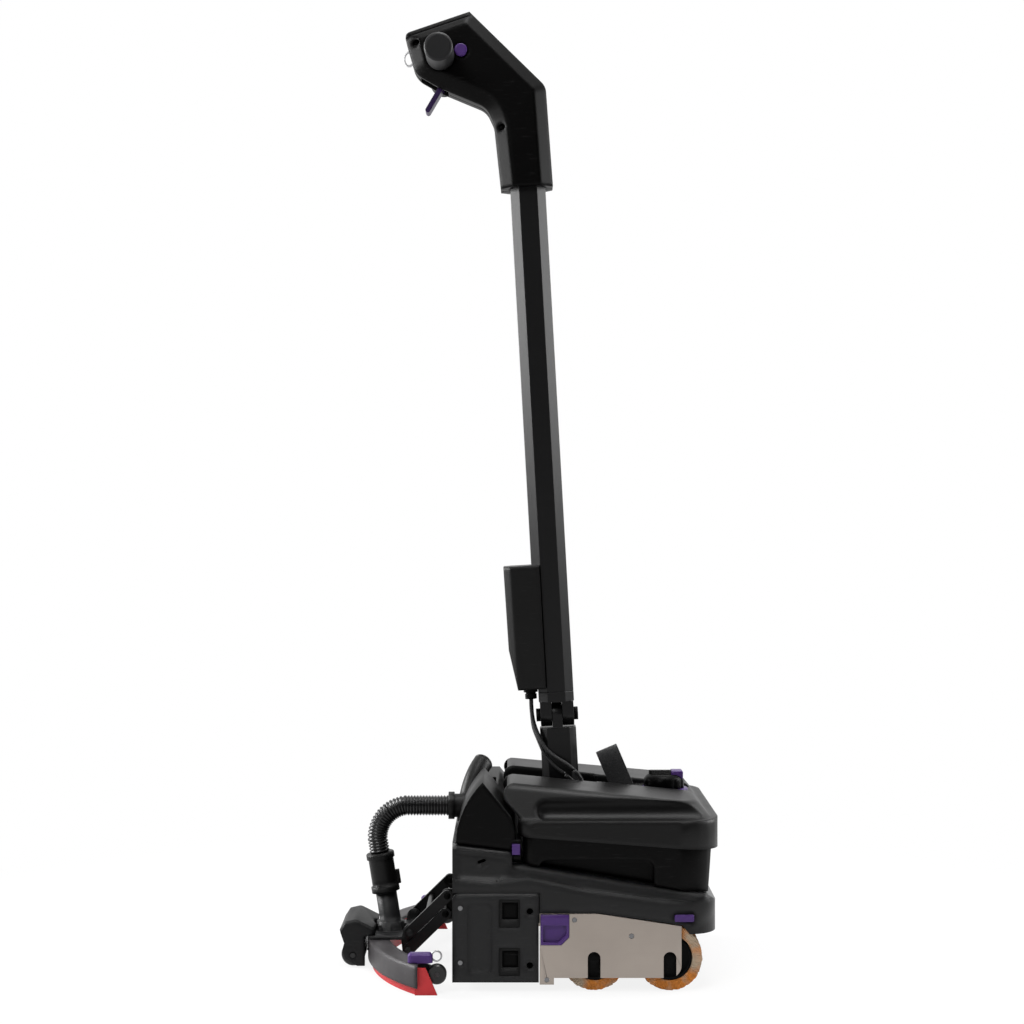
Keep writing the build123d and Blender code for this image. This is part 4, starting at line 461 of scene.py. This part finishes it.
def make_finishes():
    """Builds every material once, by its finish name."""
    tone = finishes()
    # The upper shell's charcoal plastic is darkened to 0.55: painted shade for the shade on its rounded front
    shaded_charcoal = lighter(tone.charcoal, 0.55)
    dim_violet = lighter(tone.violet, 0.4)
    dim_rubber = lighter(tone.rubber, 0.6)
    FINISH.update(
        charcoal=moulded_plastic("charcoal_plastic", tone.charcoal, 0.42, gloss=0.28, edge=0.012),
        # shell: the charcoal plastic with painted shade in its colour, glossier, so it reads darker than the side
        # panels
        shell=moulded_plastic(
            "shell_plastic_painted_shade", shaded_charcoal, 0.30, gloss=0.27, dust=0.004, edge=0.012, relief=0.2
        ),
        satin=moulded_plastic("satin_black_plastic", tone.satin, 0.40, gloss=0.20, dust=0.006),
        tank=moulded_plastic("tank_plastic", tone.tank, 0.40, gloss=0.08, dust=0.006),
        black=moulded_plastic("black_plastic", tone.black, 0.38, gloss=0.06, dust=0.004, relief=0.18),
        guard=moulded_plastic("guard_plastic", tone.guard, 0.50, grain=700.0, gloss=0.2),
        carrier=moulded_plastic("carrier_plastic", tone.carrier, 0.45, grain=700.0, gloss=0.3),
        violet=moulded_plastic(
            "violet_plastic", tone.violet, 0.33, grain=1600.0, gloss=0.25, dust=0.008, edge=0.0018
        ),
        deep_violet=moulded_plastic(
            "deep_violet_plastic", dim_violet, 0.35, gloss=0.2, dust=0.0, edge=0.0015
        ),
        steel=brushed_metal("zinc_steel", tone.zinc, 0.34),
        screw=brushed_metal("dark_screw", tone.screw, 0.30),
        stainless=brushed_metal("brushed_stainless", tone.stainless, 0.40, patch=0.16),
        anodised=brushed_metal(
            "black_anodised", tone.anodised, 0.34, metallic=0.0, patch=0.2, lines=25.0, gloss=0.25
        ),
        red=soft_rubber("red_rubber", tone.red, 0.5),
        rubber=soft_rubber("black_rubber", dim_rubber, 0.27, gloss=0.4),
        grip=soft_rubber("grip_rubber", tone.rubber, 0.5, gloss=0.25),
        cable=soft_rubber("cable_jacket", tone.rubber, 0.48),
        bristle=filament("orange_filament", tone.bristle, tone.pale_bristle),
        clear=soft_rubber("clear_plastic", tone.clear, 0.25),
        webbing=felt_webbing("felt_webbing", tone.webbing),
        motor=moulded_plastic("motor_paint", tone.charcoal, 0.4),
    )


NODE_FINISH = {
    "shell": ["upper_shell"],
    "charcoal": ["side_panel_right", "side_panel_left", "squeegee_body", "vacuum_motor", "solution_pump"],
    "satin": ["tank_lid", "battery_box", "suction_elbow", "hose_cuff"],
    "tank": ["recovery_tank", "rear_cover", "base_frame"],
    "black": [
        "handle_shell_right", "handle_shell_left", "handle_top_cover", "brush_core_front", "brush_core_rear",
        "filler_cap", "cable_gland", "roll_bolt", "handle_screws", "pivot_pins",
    ],
    "guard": ["wheel_guard"],
    "carrier": ["squeegee_carrier"],
    "violet": [
        "brush_latch", "front_button", "tank_latch_right", "tank_latch_left", "cap_ring", "thumb_button_right",
        "thumb_button_left", "clamp_knob_right", "clamp_knob_left",
    ],
    "deep_violet": ["trigger"],
    "screw": ["chassis_screws"],
    "stainless": ["brush_plate_right", "brush_plate_left"],
    "anodised": [
        "motor_pulley", "mast_bracket", "mast_foot", "mast_fork", "mast_tube", "upper_arms", "lower_arms",
    ],
    "red": ["rear_blade", "front_blade"],
    "rubber": ["drive_belts", "support_roller_right", "support_roller_left", "transport_roller"],
    "grip": ["handlebar"],
    "motor": ["brush_motor", "battery_pack"],
}
SOFTENED = {
    "upper_shell": 0.0012, "recovery_tank": 0.0012, "tank_lid": 0.0012, "rear_cover": 0.0010,
    "side_panel_right": 0.0007, "side_panel_left": 0.0007, "battery_box": 0.0010, "handle_shell_right": 0.0010,
    "handle_shell_left": 0.0010, "handle_top_cover": 0.0008, "mast_tube": 0.0006, "mast_foot": 0.0006,
    "mast_fork": 0.0006, "wheel_guard": 0.0010, "squeegee_carrier": 0.0006, "squeegee_body": 0.0006,
    "brush_plate_right": 0.0004, "brush_plate_left": 0.0004, "brush_latch": 0.0005,
}


def soften_edges(node, width):
    """A small round on a CAD node's sharp edges, by modifiers, so that they catch the light."""
    weld = node.modifiers.new("Weld", "WELD")
    weld.merge_threshold = 0.00001
    edge = node.modifiers.new("Edges", "BEVEL")
    edge.width = width
    edge.segments = 2
    edge.limit_method = "ANGLE"
    edge.angle_limit = math.radians(28)
    edge.harden_normals = True
    edge.use_clamp_overlap = True


# Modelling helpers
def put(name, bm, material, body, smooth=True):
    """Turns a bmesh into a piece that rides on a body."""
    mesh = bpy.data.meshes.new(name)
    bm.to_mesh(mesh)
    bm.free()
    mesh.materials.append(material)
    for polygon in mesh.polygons:
        polygon.use_smooth = smooth
    piece = bpy.data.objects.new(name, mesh)
    bpy.context.scene.collection.objects.link(piece)
    if body:
        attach(piece, body)
    return piece


def all_geometry(bm):
    """Every vertex, edge and face of a bmesh."""
    return bm.verts[:] + bm.edges[:] + bm.faces[:]


def edges_of(verts):
    """The edges that meet some vertices, each once and in the same order every run."""
    return list(dict.fromkeys(edge for vertex in verts for edge in vertex.link_edges))


def route_points(points, resolution):
    """Points along the smooth spline of a route, with their distances from its start."""
    curve = bpy.data.curves.new("route", "CURVE")
    curve.dimensions = "3D"
    spline = curve.splines.new("NURBS")
    spline.points.add(len(points) - 1)
    for target, point in zip(spline.points, points):
        target.co = (*point, 1)
    spline.order_u = 3
    spline.use_endpoint_u = True
    spline.resolution_u = resolution
    carrier = bpy.data.objects.new("route", curve)
    bpy.context.scene.collection.objects.link(carrier)
    bpy.context.view_layer.update()
    mesh = bpy.data.meshes.new_from_object(carrier)
    line = [vertex.co.copy() for vertex in mesh.vertices]
    bpy.data.objects.remove(carrier)
    bpy.data.curves.remove(curve)
    bpy.data.meshes.remove(mesh)
    along = [0.0]
    for before, after in zip(line, line[1:]):
        along.append(along[-1] + (after - before).length)
    return line, along


def point_at(line, along, distance):
    """Place and heading at a distance along a line."""
    distance = min(max(distance, 0.0), along[-1])
    index = 0
    while index < len(along) - 2 and along[index + 1] < distance:
        index += 1
    span = max(along[index + 1] - along[index], 1e-9)
    share = (distance - along[index]) / span
    here = line[index].lerp(line[index + 1], share)
    before = line[max(index - 1, 0)]
    after = line[min(index + 2, len(line) - 1)]
    return here, (after - before).normalized()


def ring_frame(centre, heading, side=Vector((0, 1, 0))):
    """Matrix that puts a circle's plane square to a heading, with its X near side."""
    x_axis = (side - heading * side.dot(heading)).normalized()
    y_axis = heading.cross(x_axis)
    return Matrix.Translation(centre) @ Matrix((x_axis, y_axis, heading)).transposed().to_4x4()


def skin_rings(bm, rings, segments):
    """Circles at (matrix, radius) stations, bridged into a closed tube."""
    loops = []
    for matrix, radius in rings:
        made = bmesh.ops.create_circle(bm, cap_ends=False, segments=segments, radius=radius, matrix=matrix)
        loops.append(edges_of(made["verts"]))
    for first, second in zip(loops, loops[1:]):
        bmesh.ops.bridge_loops(bm, edges=first + second)
    bmesh.ops.contextual_create(bm, geom=loops[0])
    bmesh.ops.contextual_create(bm, geom=loops[-1])
    bmesh.ops.recalc_face_normals(bm, faces=bm.faces)


def make_tube(name, line, along, radius, material, start, end, segments=12, step=0.004):
    """A plain tube between two distances of a line; returns the piece and its path."""
    bm = bmesh.new()
    count = max(2, round((end - start) / step))
    path = [point_at(line, along, start + (end - start) * n / count) for n in range(count + 1)]
    skin_rings(bm, [(ring_frame(p, h), radius) for p, h in path], segments)
    piece = put(name, bm, material, None)
    return piece, [p for p, _ in path]


def make_block(centre, size, bevel):
    """A block with rounded edges."""
    bm = bmesh.new()
    bmesh.ops.create_cube(bm, size=1, matrix=Matrix.Translation(centre) @ Matrix.Diagonal((*size, 1)))
    bmesh.ops.bevel(
        bm, geom=bm.edges[:], offset=bevel, offset_type="OFFSET", affect="EDGES", segments=3, profile=0.5,
        material=-1, clamp_overlap=True,
    )
    return bm


def make_ring(centre, radius, ring_wire):
    """A closed wire ring in the XZ plane."""
    bm = bmesh.new()
    made = bmesh.ops.create_circle(
        bm, segments=RING_SIDES, radius=ring_wire, matrix=Matrix.Translation(centre + Vector((radius, 0, 0)))
    )
    bmesh.ops.spin(
        bm, geom=made["verts"] + edges_of(made["verts"]), cent=centre, axis=(0, 1, 0), dvec=(0, 0, 0),
        angle=2 * math.pi, steps=RING_STEPS, use_merge=True,
    )
    bmesh.ops.recalc_face_normals(bm, faces=bm.faces)
    return bm


# Pieces
class SCRUBBER_OT_finishes(bpy.types.Operator):
    """Give every CAD node its finish and soften its edges"""

    bl_idname = "scrubber.finishes"
    bl_label = "Finishes"

    def execute(self, context):
        make_finishes()
        for finish, names in NODE_FINISH.items():
            for name in names:
                mesh = NODES[name].data
                mesh.materials.clear()
                mesh.materials.append(FINISH[finish])
        for name, width in SOFTENED.items():
            soften_edges(NODES[name], width)
        return {"FINISHED"}


class SCRUBBER_OT_brushes(bpy.types.Operator):
    """Fill both brushes with rows of filament tufts"""

    bl_idname = "scrubber.brushes"
    bl_label = "Brushes"

    def execute(self, context):
        # Unseeded, noise_vector takes its offsets from the clock
        noise.seed_set(SWAY_SEED)
        for which, axis in BRUSH_AXES.items():
            low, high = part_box(f"bristles_{which}")
            self.make_brush(which, axis, low.y, high.y)
        return {"FINISHED"}

    def make_brush(self, which, axis, start, end):
        """One tuft, spun into a row and the row into a brush, with the mat between the tufts."""
        tip = sizes().bristle_radius
        pitch = (end - start) / TUFT_ROWS
        middle = axis + Vector(((tip + TUFT_ROOT) / 2, start + pitch / 2 - axis.y, 0))
        bm = bmesh.new()
        bmesh.ops.create_cone(
            bm, cap_ends=False, segments=3, radius1=TUFT_RADII[0], radius2=TUFT_RADII[1], depth=tip - TUFT_ROOT,
            matrix=Matrix.Translation(middle) @ Matrix.Rotation(math.pi / 2, 4, "Y"),
        )
        bmesh.ops.spin(
            bm, geom=all_geometry(bm), cent=axis, axis=(0, 1, 0), dvec=(0, 0, 0),
            angle=2 * math.pi * (TUFTS_AROUND - 1) / TUFTS_AROUND, steps=TUFTS_AROUND - 1, use_duplicate=True,
        )
        bmesh.ops.spin(
            bm, geom=all_geometry(bm), cent=axis, axis=(0, 1, 0), dvec=(0, pitch, 0),
            angle=ROW_TURN * (TUFT_ROWS - 1), steps=TUFT_ROWS - 1, use_duplicate=True,
        )
        self.ruffle(bm, axis, tip, start, end)
        bmesh.ops.create_cone(
            bm, cap_ends=False, segments=72, radius1=MAT_RADIUS, radius2=MAT_RADIUS, depth=end - start - MAT_INSET,
            matrix=Matrix.Translation((axis.x, (start + end) / 2, axis.z)) @ Matrix.Rotation(math.pi / 2, 4, "X"),
        )
        bmesh.ops.recalc_face_normals(bm, faces=bm.faces)
        piece = put(f"filament_{which}", bm, FINISH["bristle"], f"brush_{which}")
        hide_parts(f"bristles_{which}")

    def ruffle(self, bm, axis, tip, start, end):
        """Sways the tufts' tips and varies their reach, inside the brush's own size."""
        for vertex in bm.verts:
            arm = Vector((vertex.co.x - axis.x, 0, vertex.co.z - axis.z))
            if arm.length > (TUFT_ROOT + tip) / 2:
                sway = noise.noise_vector(vertex.co * SWAY_SCALE) * SWAY
                reach = arm * (REACH_MEAN + REACH_SPREAD * noise.noise(vertex.co * REACH_SCALE)) + sway
                reach.y = 0
                reach *= min(1.0, tip / reach.length)
                side = min(max(vertex.co.y + sway.y, start), end)
                vertex.co = Vector((axis.x, side, axis.z)) + reach


class SCRUBBER_OT_hose(bpy.types.Operator):
    """Make the ribbed suction hose, in two lengths"""

    bl_idname = "scrubber.hose"
    bl_label = "Suction hose"

    def execute(self, context):
        line, along = route_points(self.find_route(), resolution=24)
        pitch = along[-1] / HOSE_RIBS
        root, crest = sizes().hose_root, sizes().hose_radius
        stations = [
            ((rib + part) * pitch, crest if high else root) for rib in range(HOSE_RIBS) for part, high in RIB_PROFILE
        ]
        stations.append((along[-1], root))
        middle = len(RIB_PROFILE) * HOSE_SPLIT_RIB
        for name, span in (("hose_upper", stations[: middle + 1]), ("hose_lower", stations[middle:])):
            bm = bmesh.new()
            rings = [(ring_frame(*point_at(line, along, distance)), radius) for distance, radius in span]
            skin_rings(bm, rings, HOSE_SIDES)
            piece = put(name, bm, FINISH["rubber"], None)
            if name == "hose_upper":
                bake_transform(piece)
            else:
                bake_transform(piece)
            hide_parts("suction_hose")
        return {"FINISHED"}

    def find_route(self):
        """Control points round the CAD bend: level from the coupling, then down the leaning cuff."""
        lean = Vector((-math.sin(HOSE_TILT), 0, math.cos(HOSE_TILT)))
        across = Vector((lean.z, 0, -lean.x))
        bend_foot = HOSE_FOOT + HOSE_END_RUN * lean
        radius = (HOSE_COUPLING.z - bend_foot.z) / (1 + across.z)
        centre = bend_foot + radius * across
        sweep = math.pi / 2 + HOSE_TILT
        reach = radius / math.cos(sweep / HOSE_BEND_POINTS / 2)
        turns = [math.pi / 2 + sweep * (n + 0.5) / HOSE_BEND_POINTS for n in range(HOSE_BEND_POINTS)]
        corners = [centre + reach * Vector((math.cos(turn), 0, math.sin(turn))) for turn in turns]
        return [HOSE_COUPLING, centre + Vector((0, 0, radius)), *corners, bend_foot, HOSE_FOOT]


class SCRUBBER_OT_cables(bpy.types.Operator):
    """Make the two cables from the battery box to the deck, each in two lengths"""

    bl_idname = "scrubber.cables"
    bl_label = "Cables"

    def execute(self, context):
        for name, route, radius in (
            ("cable", CABLE_ROUTE, sizes().cable_radius),
            ("thin_cable", THIN_CABLE_ROUTE, sizes().thin_cable_radius),
        ):
            line, along = route_points(route, resolution=12)
            middle = 0.5 * along[-1]
            spans = ((f"{name}_upper", 0.0, middle), (f"{name}_lower", middle, along[-1]))
            for label, start, end in spans:
                piece, path = make_tube(label, line, along, radius, FINISH["cable"], start, end)
                if label.endswith("upper"):
                    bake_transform(piece)
                else:
                    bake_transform(piece)
                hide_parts("cables")
        return {"FINISHED"}


class SCRUBBER_OT_strap(bpy.types.Operator):
    """Make the webbing loop that lifts the lid"""

    bl_idname = "scrubber.strap"
    bl_label = "Lid strap"

    def execute(self, context):
        low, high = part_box("strap")
        width = sizes().strap_width
        centre = Vector((STRAP_FOOT, 0, low.z))
        lean = Matrix.Rotation(-STRAP_LEAN, 4, "Y")
        half = (high.y - low.y) / 2 - STRAP_INSET
        top = (high.z - low.z - 0.5 * width * math.sin(STRAP_LEAN)) / math.cos(STRAP_LEAN)
        bends = [(share * half, rise * top) for share, rise in STRAP_SHAPE]
        shape = [(-half, -STRAP_SINK), *bends, (half, -STRAP_SINK)]
        route = [centre + lean @ Vector((0, y, h)) for y, h in shape]
        line, along = route_points(route, resolution=10)
        across = lean @ Vector((1, 0, 0))
        flat = Matrix.Diagonal((width, STRAP_THICKNESS, 1, 1)) @ Matrix.Rotation(math.pi / 4, 4, "Z")
        rings = []
        for n in range(STRAP_PARTS + 1):
            here, heading = point_at(line, along, along[-1] * n / STRAP_PARTS)
            rings.append((ring_frame(here, heading, across) @ flat, math.sqrt(0.5)))
        bm = bmesh.new()
        skin_rings(bm, rings, 4)
        rim = [e for e in bm.edges if len(e.link_faces) == 2 and e.calc_face_angle(0) > STRAP_CORNER]
        bmesh.ops.bevel(
            bm, geom=rim, offset=STRAP_EDGE, offset_type="OFFSET", affect="EDGES", segments=2, profile=0.5,
            material=-1, clamp_overlap=True,
        )
        bmesh.ops.bisect_plane(
            bm, geom=all_geometry(bm), plane_co=(0, 0, low.z - STRAP_CUT), plane_no=(0, 0, 1), clear_inner=True
        )
        bmesh.ops.holes_fill(bm, edges=bm.edges[:])
        piece = put("strap_loop", bm, FINISH["webbing"], "lid")
        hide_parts("strap")
        return {"FINISHED"}


class SCRUBBER_OT_rings(bpy.types.Operator):
    """Make the pull rings, the loop at the back of the head and the lip of the suction port"""

    bl_idname = "scrubber.rings"
    bl_label = "Rings"

    def execute(self, context):
        for side, label in ((-1, "right"), (1, "left")):
            centre = Vector((KNOB_RING_PLACE.x, side * KNOB_RING_PLACE.y, KNOB_RING_PLACE.z))
            ring = make_ring(centre, KNOB_RING_RADIUS, RING_WIRE)
            put(f"pull_ring_{label}", ring, FINISH["steel"], f"knob_{label}")
        loop = make_ring(Vector((0, 0, 0)), LOOP_RADIUS, RING_WIRE)
        bmesh.ops.scale(loop, vec=(1, 1, LOOP_STRETCH), verts=loop.verts)
        bmesh.ops.translate(loop, vec=LOOP_PLACE, verts=loop.verts)
        put("hanging_loop", loop, FINISH["clear"], "mast")
        lip = make_ring(Vector((0, 0, 0)), PORT_LIP_RADIUS, PORT_LIP_WIRE)
        facing = Vector((0, 1, 0)).rotation_difference(PORT_HEADING).to_matrix().to_4x4()
        bmesh.ops.transform(lip, matrix=Matrix.Translation(PORT_PLACE) @ facing, verts=lip.verts)
        put("port_lip", lip, FINISH["rubber"], "chassis")
        return {"FINISHED"}


class SCRUBBER_OT_cap_tab(bpy.types.Operator):
    """Make the coloured tab on the filler cap and the anchor plate of the lid strap"""

    bl_idname = "scrubber.cap_tab"
    bl_label = "Cap tab and strap anchor"

    def execute(self, context):
        _, cap_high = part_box("filler_cap")
        tab = make_block(Vector((cap_high.x - TAB_BACK, 0, cap_high.z - TAB_DOWN)), TAB_SIZE, TAB_ROUND)
        put("cap_tab", tab, FINISH["violet"], "cap")
        strap_low, strap_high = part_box("strap")
        middle = Vector((strap_high.x - ANCHOR_BACK, 0, strap_low.z + ANCHOR_UP))
        plate = make_block(middle, ANCHOR_SIZE, ANCHOR_ROUND)
        put("strap_anchor", plate, FINISH["satin"], "lid")
        return {"FINISHED"}


class SCRUBBER_OT_windows(bpy.types.Operator):
    """Line the square windows and the mounting holes of the side panels, with a black pane of painted shade behind
    each window
    """

    bl_idname = "scrubber.windows"
    bl_label = "Window and hole linings"

    def execute(self, context):
        for side, label in ((-1, "right"), (1, "left")):
            low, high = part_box(f"side_panel_{label}")
            outer = low.y if side < 0 else high.y
            for where, height in WINDOW_ZS.items():
                middle = Vector((WINDOW_X, outer - side * WINDOW_DEPTH, height))
                lining = self.make_lining(middle, side)
                name = f"window_frame_{where}_{label}"
                put(name, lining, FINISH["satin"], "chassis", smooth=False)
                # Behind the opening, a black pane as painted shade for the dark depth of the window
                back = middle + WINDOW_OPENING - Vector((0, side * PANE_DEPTH, 0))
                pane_size = (WINDOW_INNER.x - PANE_GAP, PANE_THICKNESS, WINDOW_INNER.y - PANE_GAP)
                pane = make_block(back, pane_size, PANE_ROUND)
                name = f"window_painted_shade_{where}_{label}"
                put(name, pane, FINISH["black"], "chassis", smooth=False)
            for where, height in HOLE_ZS.items():
                sleeve = self.make_sleeve(Vector((HOLE_X, outer - side * HOLE_RECESS, height)), side)
                put(f"hole_insert_{where}_{label}", sleeve, FINISH["black"], "chassis")
        return {"FINISHED"}

    def make_sleeve(self, mouth, side):
        """A blind sleeve in a mounting hole, open towards the outside."""
        bm = bmesh.new()
        middle = mouth - Vector((0, side * SLEEVE_DEPTH / 2, 0))
        bmesh.ops.create_cone(
            bm, cap_ends=True, segments=32, radius1=HOLE_RADIUS, radius2=HOLE_RADIUS, depth=SLEEVE_DEPTH,
            matrix=Matrix.Translation(middle) @ Matrix.Rotation(math.pi / 2, 4, "X"),
        )
        face = min(bm.faces, key=lambda item: (item.calc_center_median() - mouth).length)
        bmesh.ops.inset_region(bm, faces=[face], thickness=SLEEVE_WALL)
        made = bmesh.ops.extrude_discrete_faces(bm, faces=[face])
        inward = (0, -side * (SLEEVE_DEPTH - SLEEVE_FLOOR), 0)
        bmesh.ops.translate(bm, vec=inward, verts=made["faces"][0].verts[:])
        bmesh.ops.recalc_face_normals(bm, faces=bm.faces)
        return bm

    def make_lining(self, middle, side):
        """A thin plate in the window's recess with a square opening."""
        bm = bmesh.new()
        flat = Matrix.Translation(middle) @ Matrix.Rotation(math.pi / 2, 4, "X")
        bmesh.ops.create_grid(
            bm, x_segments=1, y_segments=1, size=0.5,
            matrix=flat @ Matrix.Diagonal((WINDOW_OUTER.x, WINDOW_OUTER.y, 1, 1)),
        )
        opening = middle + WINDOW_OPENING
        across, up = Vector((WINDOW_INNER.x / 2, 0, 0)), Vector((0, 0, WINDOW_INNER.y / 2))
        for offset in (across, -across, up, -up):
            normal = (1, 0, 0) if offset.x else (0, 0, 1)
            bmesh.ops.bisect_plane(bm, geom=all_geometry(bm), plane_co=opening + offset, plane_no=normal)
        inner = min(bm.faces, key=lambda item: (item.calc_center_median() - opening).length)
        bmesh.ops.delete(bm, geom=[inner], context="FACES")
        made = bmesh.ops.extrude_face_region(bm, geom=bm.faces[:])
        moved = [item for item in made["geom"] if isinstance(item, bmesh.types.BMVert)]
        bmesh.ops.translate(bm, vec=(0, side * LINING_THICKNESS, 0), verts=moved)
        bmesh.ops.recalc_face_normals(bm, faces=bm.faces)
        return bm


class SCRUBBER_OT_stage(bpy.types.Operator):
    """Set the floor, lights, world and camera"""

    bl_idname = "scrubber.stage"
    bl_label = "Stage"

    def execute(self, context):
        self.make_floor()
        for lamp in LAMPS:
            self.make_light(context, *lamp)
        self.make_world(context)
        camera = bpy.data.objects.new("camera", bpy.data.cameras.new("camera"))
        context.scene.collection.objects.link(camera)
        camera.location = (CAMERA_X, -sizes().camera_distance, sizes().camera_height)
        camera.rotation_euler = (math.pi / 2, 0, 0)
        camera.data.sensor_width = CAMERA_SENSOR
        camera.data.lens = CAMERA_LENS
        context.scene.camera = camera
        context.scene.view_settings.view_transform = "Standard"
        return {"FINISHED"}

    def make_floor(self):
        """A pale floor that keeps the machine's shadow and fades to white away from it."""
        bm = bmesh.new()
        bmesh.ops.create_grid(bm, x_segments=1, y_segments=1, size=FLOOR_HALF)
        material, tree, shader = start_material("floor_white", {"Base Color": finishes().floor, "Roughness": 0.9})
        glow = place(tree, "ShaderNodeEmission")
        where = place(tree, "ShaderNodeTexCoord")
        reach = place(tree, "ShaderNodeVectorMath", operation="LENGTH")
        fade = place(
            tree, "ShaderNodeMapRange", {"From Min": 0.25, "From Max": 0.95, "To Min": 0.86, "To Max": 1.0},
            interpolation_type="SMOOTHSTEP",
        )
        path = place(tree, "ShaderNodeLightPath")
        seen = place(tree, "ShaderNodeMath", operation="ADD", use_clamp=True)
        part = place(tree, "ShaderNodeMath", operation="MULTIPLY")
        blend = place(tree, "ShaderNodeMixShader")
        wire(
            tree,
            (where.outputs["Object"], reach.inputs[0]),
            (reach.outputs["Value"], fade.inputs["Value"]),
            (path.outputs["Is Camera Ray"], seen.inputs[0]),
            (path.outputs["Is Glossy Ray"], seen.inputs[1]),
            (seen.outputs[0], part.inputs[0]),
            (fade.outputs[0], part.inputs[1]),
            (part.outputs[0], blend.inputs[0]),
            (shader.outputs[0], blend.inputs[1]),
            (glow.outputs[0], blend.inputs[2]),
            (blend.outputs[0], tree.nodes["Material Output"].inputs["Surface"]),
        )
        put("floor", bm, material, None, smooth=False)

    def make_light(self, context, name, place_at, aim, power, width):
        """A square lamp aimed at a point."""
        light = bpy.data.lights.new(name, "AREA")
        light.energy = power
        light.size = width
        lamp = bpy.data.objects.new(name, light)
        lamp.location = place_at
        lamp.rotation_euler = (Vector(aim) - Vector(place_at)).to_track_quat("-Z", "Y").to_euler()
        context.scene.collection.objects.link(lamp)

    def make_world(self, context):
        """White to the camera and behind the machine, with a dim studio on the camera's side."""
        world = bpy.data.worlds.new("studio")
        world.use_nodes = True
        context.scene.world = world
        tree = world.node_tree
        soft = tree.nodes["Background"]
        soft.inputs["Color"].default_value = WHITE
        soft.inputs["Strength"].default_value = WORLD_LEVEL
        white = place(tree, "ShaderNodeBackground", {"Color": WHITE})
        where = place(tree, "ShaderNodeTexCoord")
        axis = place(tree, "ShaderNodeSeparateXYZ")
        behind = place(
            tree, "ShaderNodeMapRange", {"From Min": -0.55, "From Max": 0.25, "To Min": 0.10, "To Max": 1.0},
            interpolation_type="SMOOTHSTEP",
        )
        path = place(tree, "ShaderNodeLightPath")
        clear = place(tree, "ShaderNodeMath", operation="MAXIMUM")
        level = place(tree, "ShaderNodeMath", operation="MAXIMUM")
        seen = place(tree, "ShaderNodeMath", operation="MAXIMUM")
        blend = place(tree, "ShaderNodeMixShader")
        wire(
            tree,
            (where.outputs["Generated"], axis.inputs[0]),
            (axis.outputs["Y"], behind.inputs["Value"]),
            (path.outputs["Is Camera Ray"], clear.inputs[0]),
            (path.outputs["Is Transmission Ray"], clear.inputs[1]),
            (clear.outputs[0], level.inputs[0]),
            (behind.outputs[0], level.inputs[1]),
            (level.outputs[0], white.inputs["Strength"]),
            (clear.outputs[0], seen.inputs[0]),
            (path.outputs["Is Glossy Ray"], seen.inputs[1]),
            (seen.outputs[0], blend.inputs[0]),
            (soft.outputs[0], blend.inputs[1]),
            (white.outputs[0], blend.inputs[2]),
            (blend.outputs[0], tree.nodes["World Output"].inputs["Surface"]),
        )


class SCRUBBER_PT_panel(bpy.types.Panel):
    """Lists the scrubber's pieces in the sidebar"""

    bl_idname = "SCRUBBER_PT_panel"
    bl_label = "Floor scrubber"
    bl_space_type = "VIEW_3D"
    bl_region_type = "UI"
    bl_category = "Scrubber"

    def draw(self, context):
        for operator in PIECE_OPERATORS:
            self.layout.operator(operator.bl_idname)


PIECE_OPERATORS = (
    SCRUBBER_OT_finishes,
    SCRUBBER_OT_stage,
    SCRUBBER_OT_cables,
    SCRUBBER_OT_hose,
    SCRUBBER_OT_brushes,
    SCRUBBER_OT_strap,
    SCRUBBER_OT_rings,
    SCRUBBER_OT_cap_tab,
    SCRUBBER_OT_windows,
)
CLASSES = (ScrubberFinishes, ScrubberSizes, *PIECE_OPERATORS, SCRUBBER_PT_panel)


def register():
    """Adds the classes and the scene's settings."""
    for cls in CLASSES:
        bpy.utils.register_class(cls)
    bpy.types.Scene.scrubber_finishes = bpy.props.PointerProperty(type=ScrubberFinishes)
    bpy.types.Scene.scrubber_sizes = bpy.props.PointerProperty(type=ScrubberSizes)


def unregister():
    """Takes the classes and settings out again."""
    del bpy.types.Scene.scrubber_sizes
    del bpy.types.Scene.scrubber_finishes
    for cls in reversed(CLASSES):
        bpy.utils.unregister_class(cls)


def main():
    """Builds the dressed machine."""
    register()
    bpy.ops.scrubber.finishes()
    bpy.ops.scrubber.stage()
    bpy.ops.scrubber.cables()
    bpy.ops.scrubber.hose()
    bpy.ops.scrubber.brushes()
    bpy.ops.scrubber.strap()
    bpy.ops.scrubber.rings()
    bpy.ops.scrubber.cap_tab()
    bpy.ops.scrubber.windows()


if __name__ == "__main__":
    main()
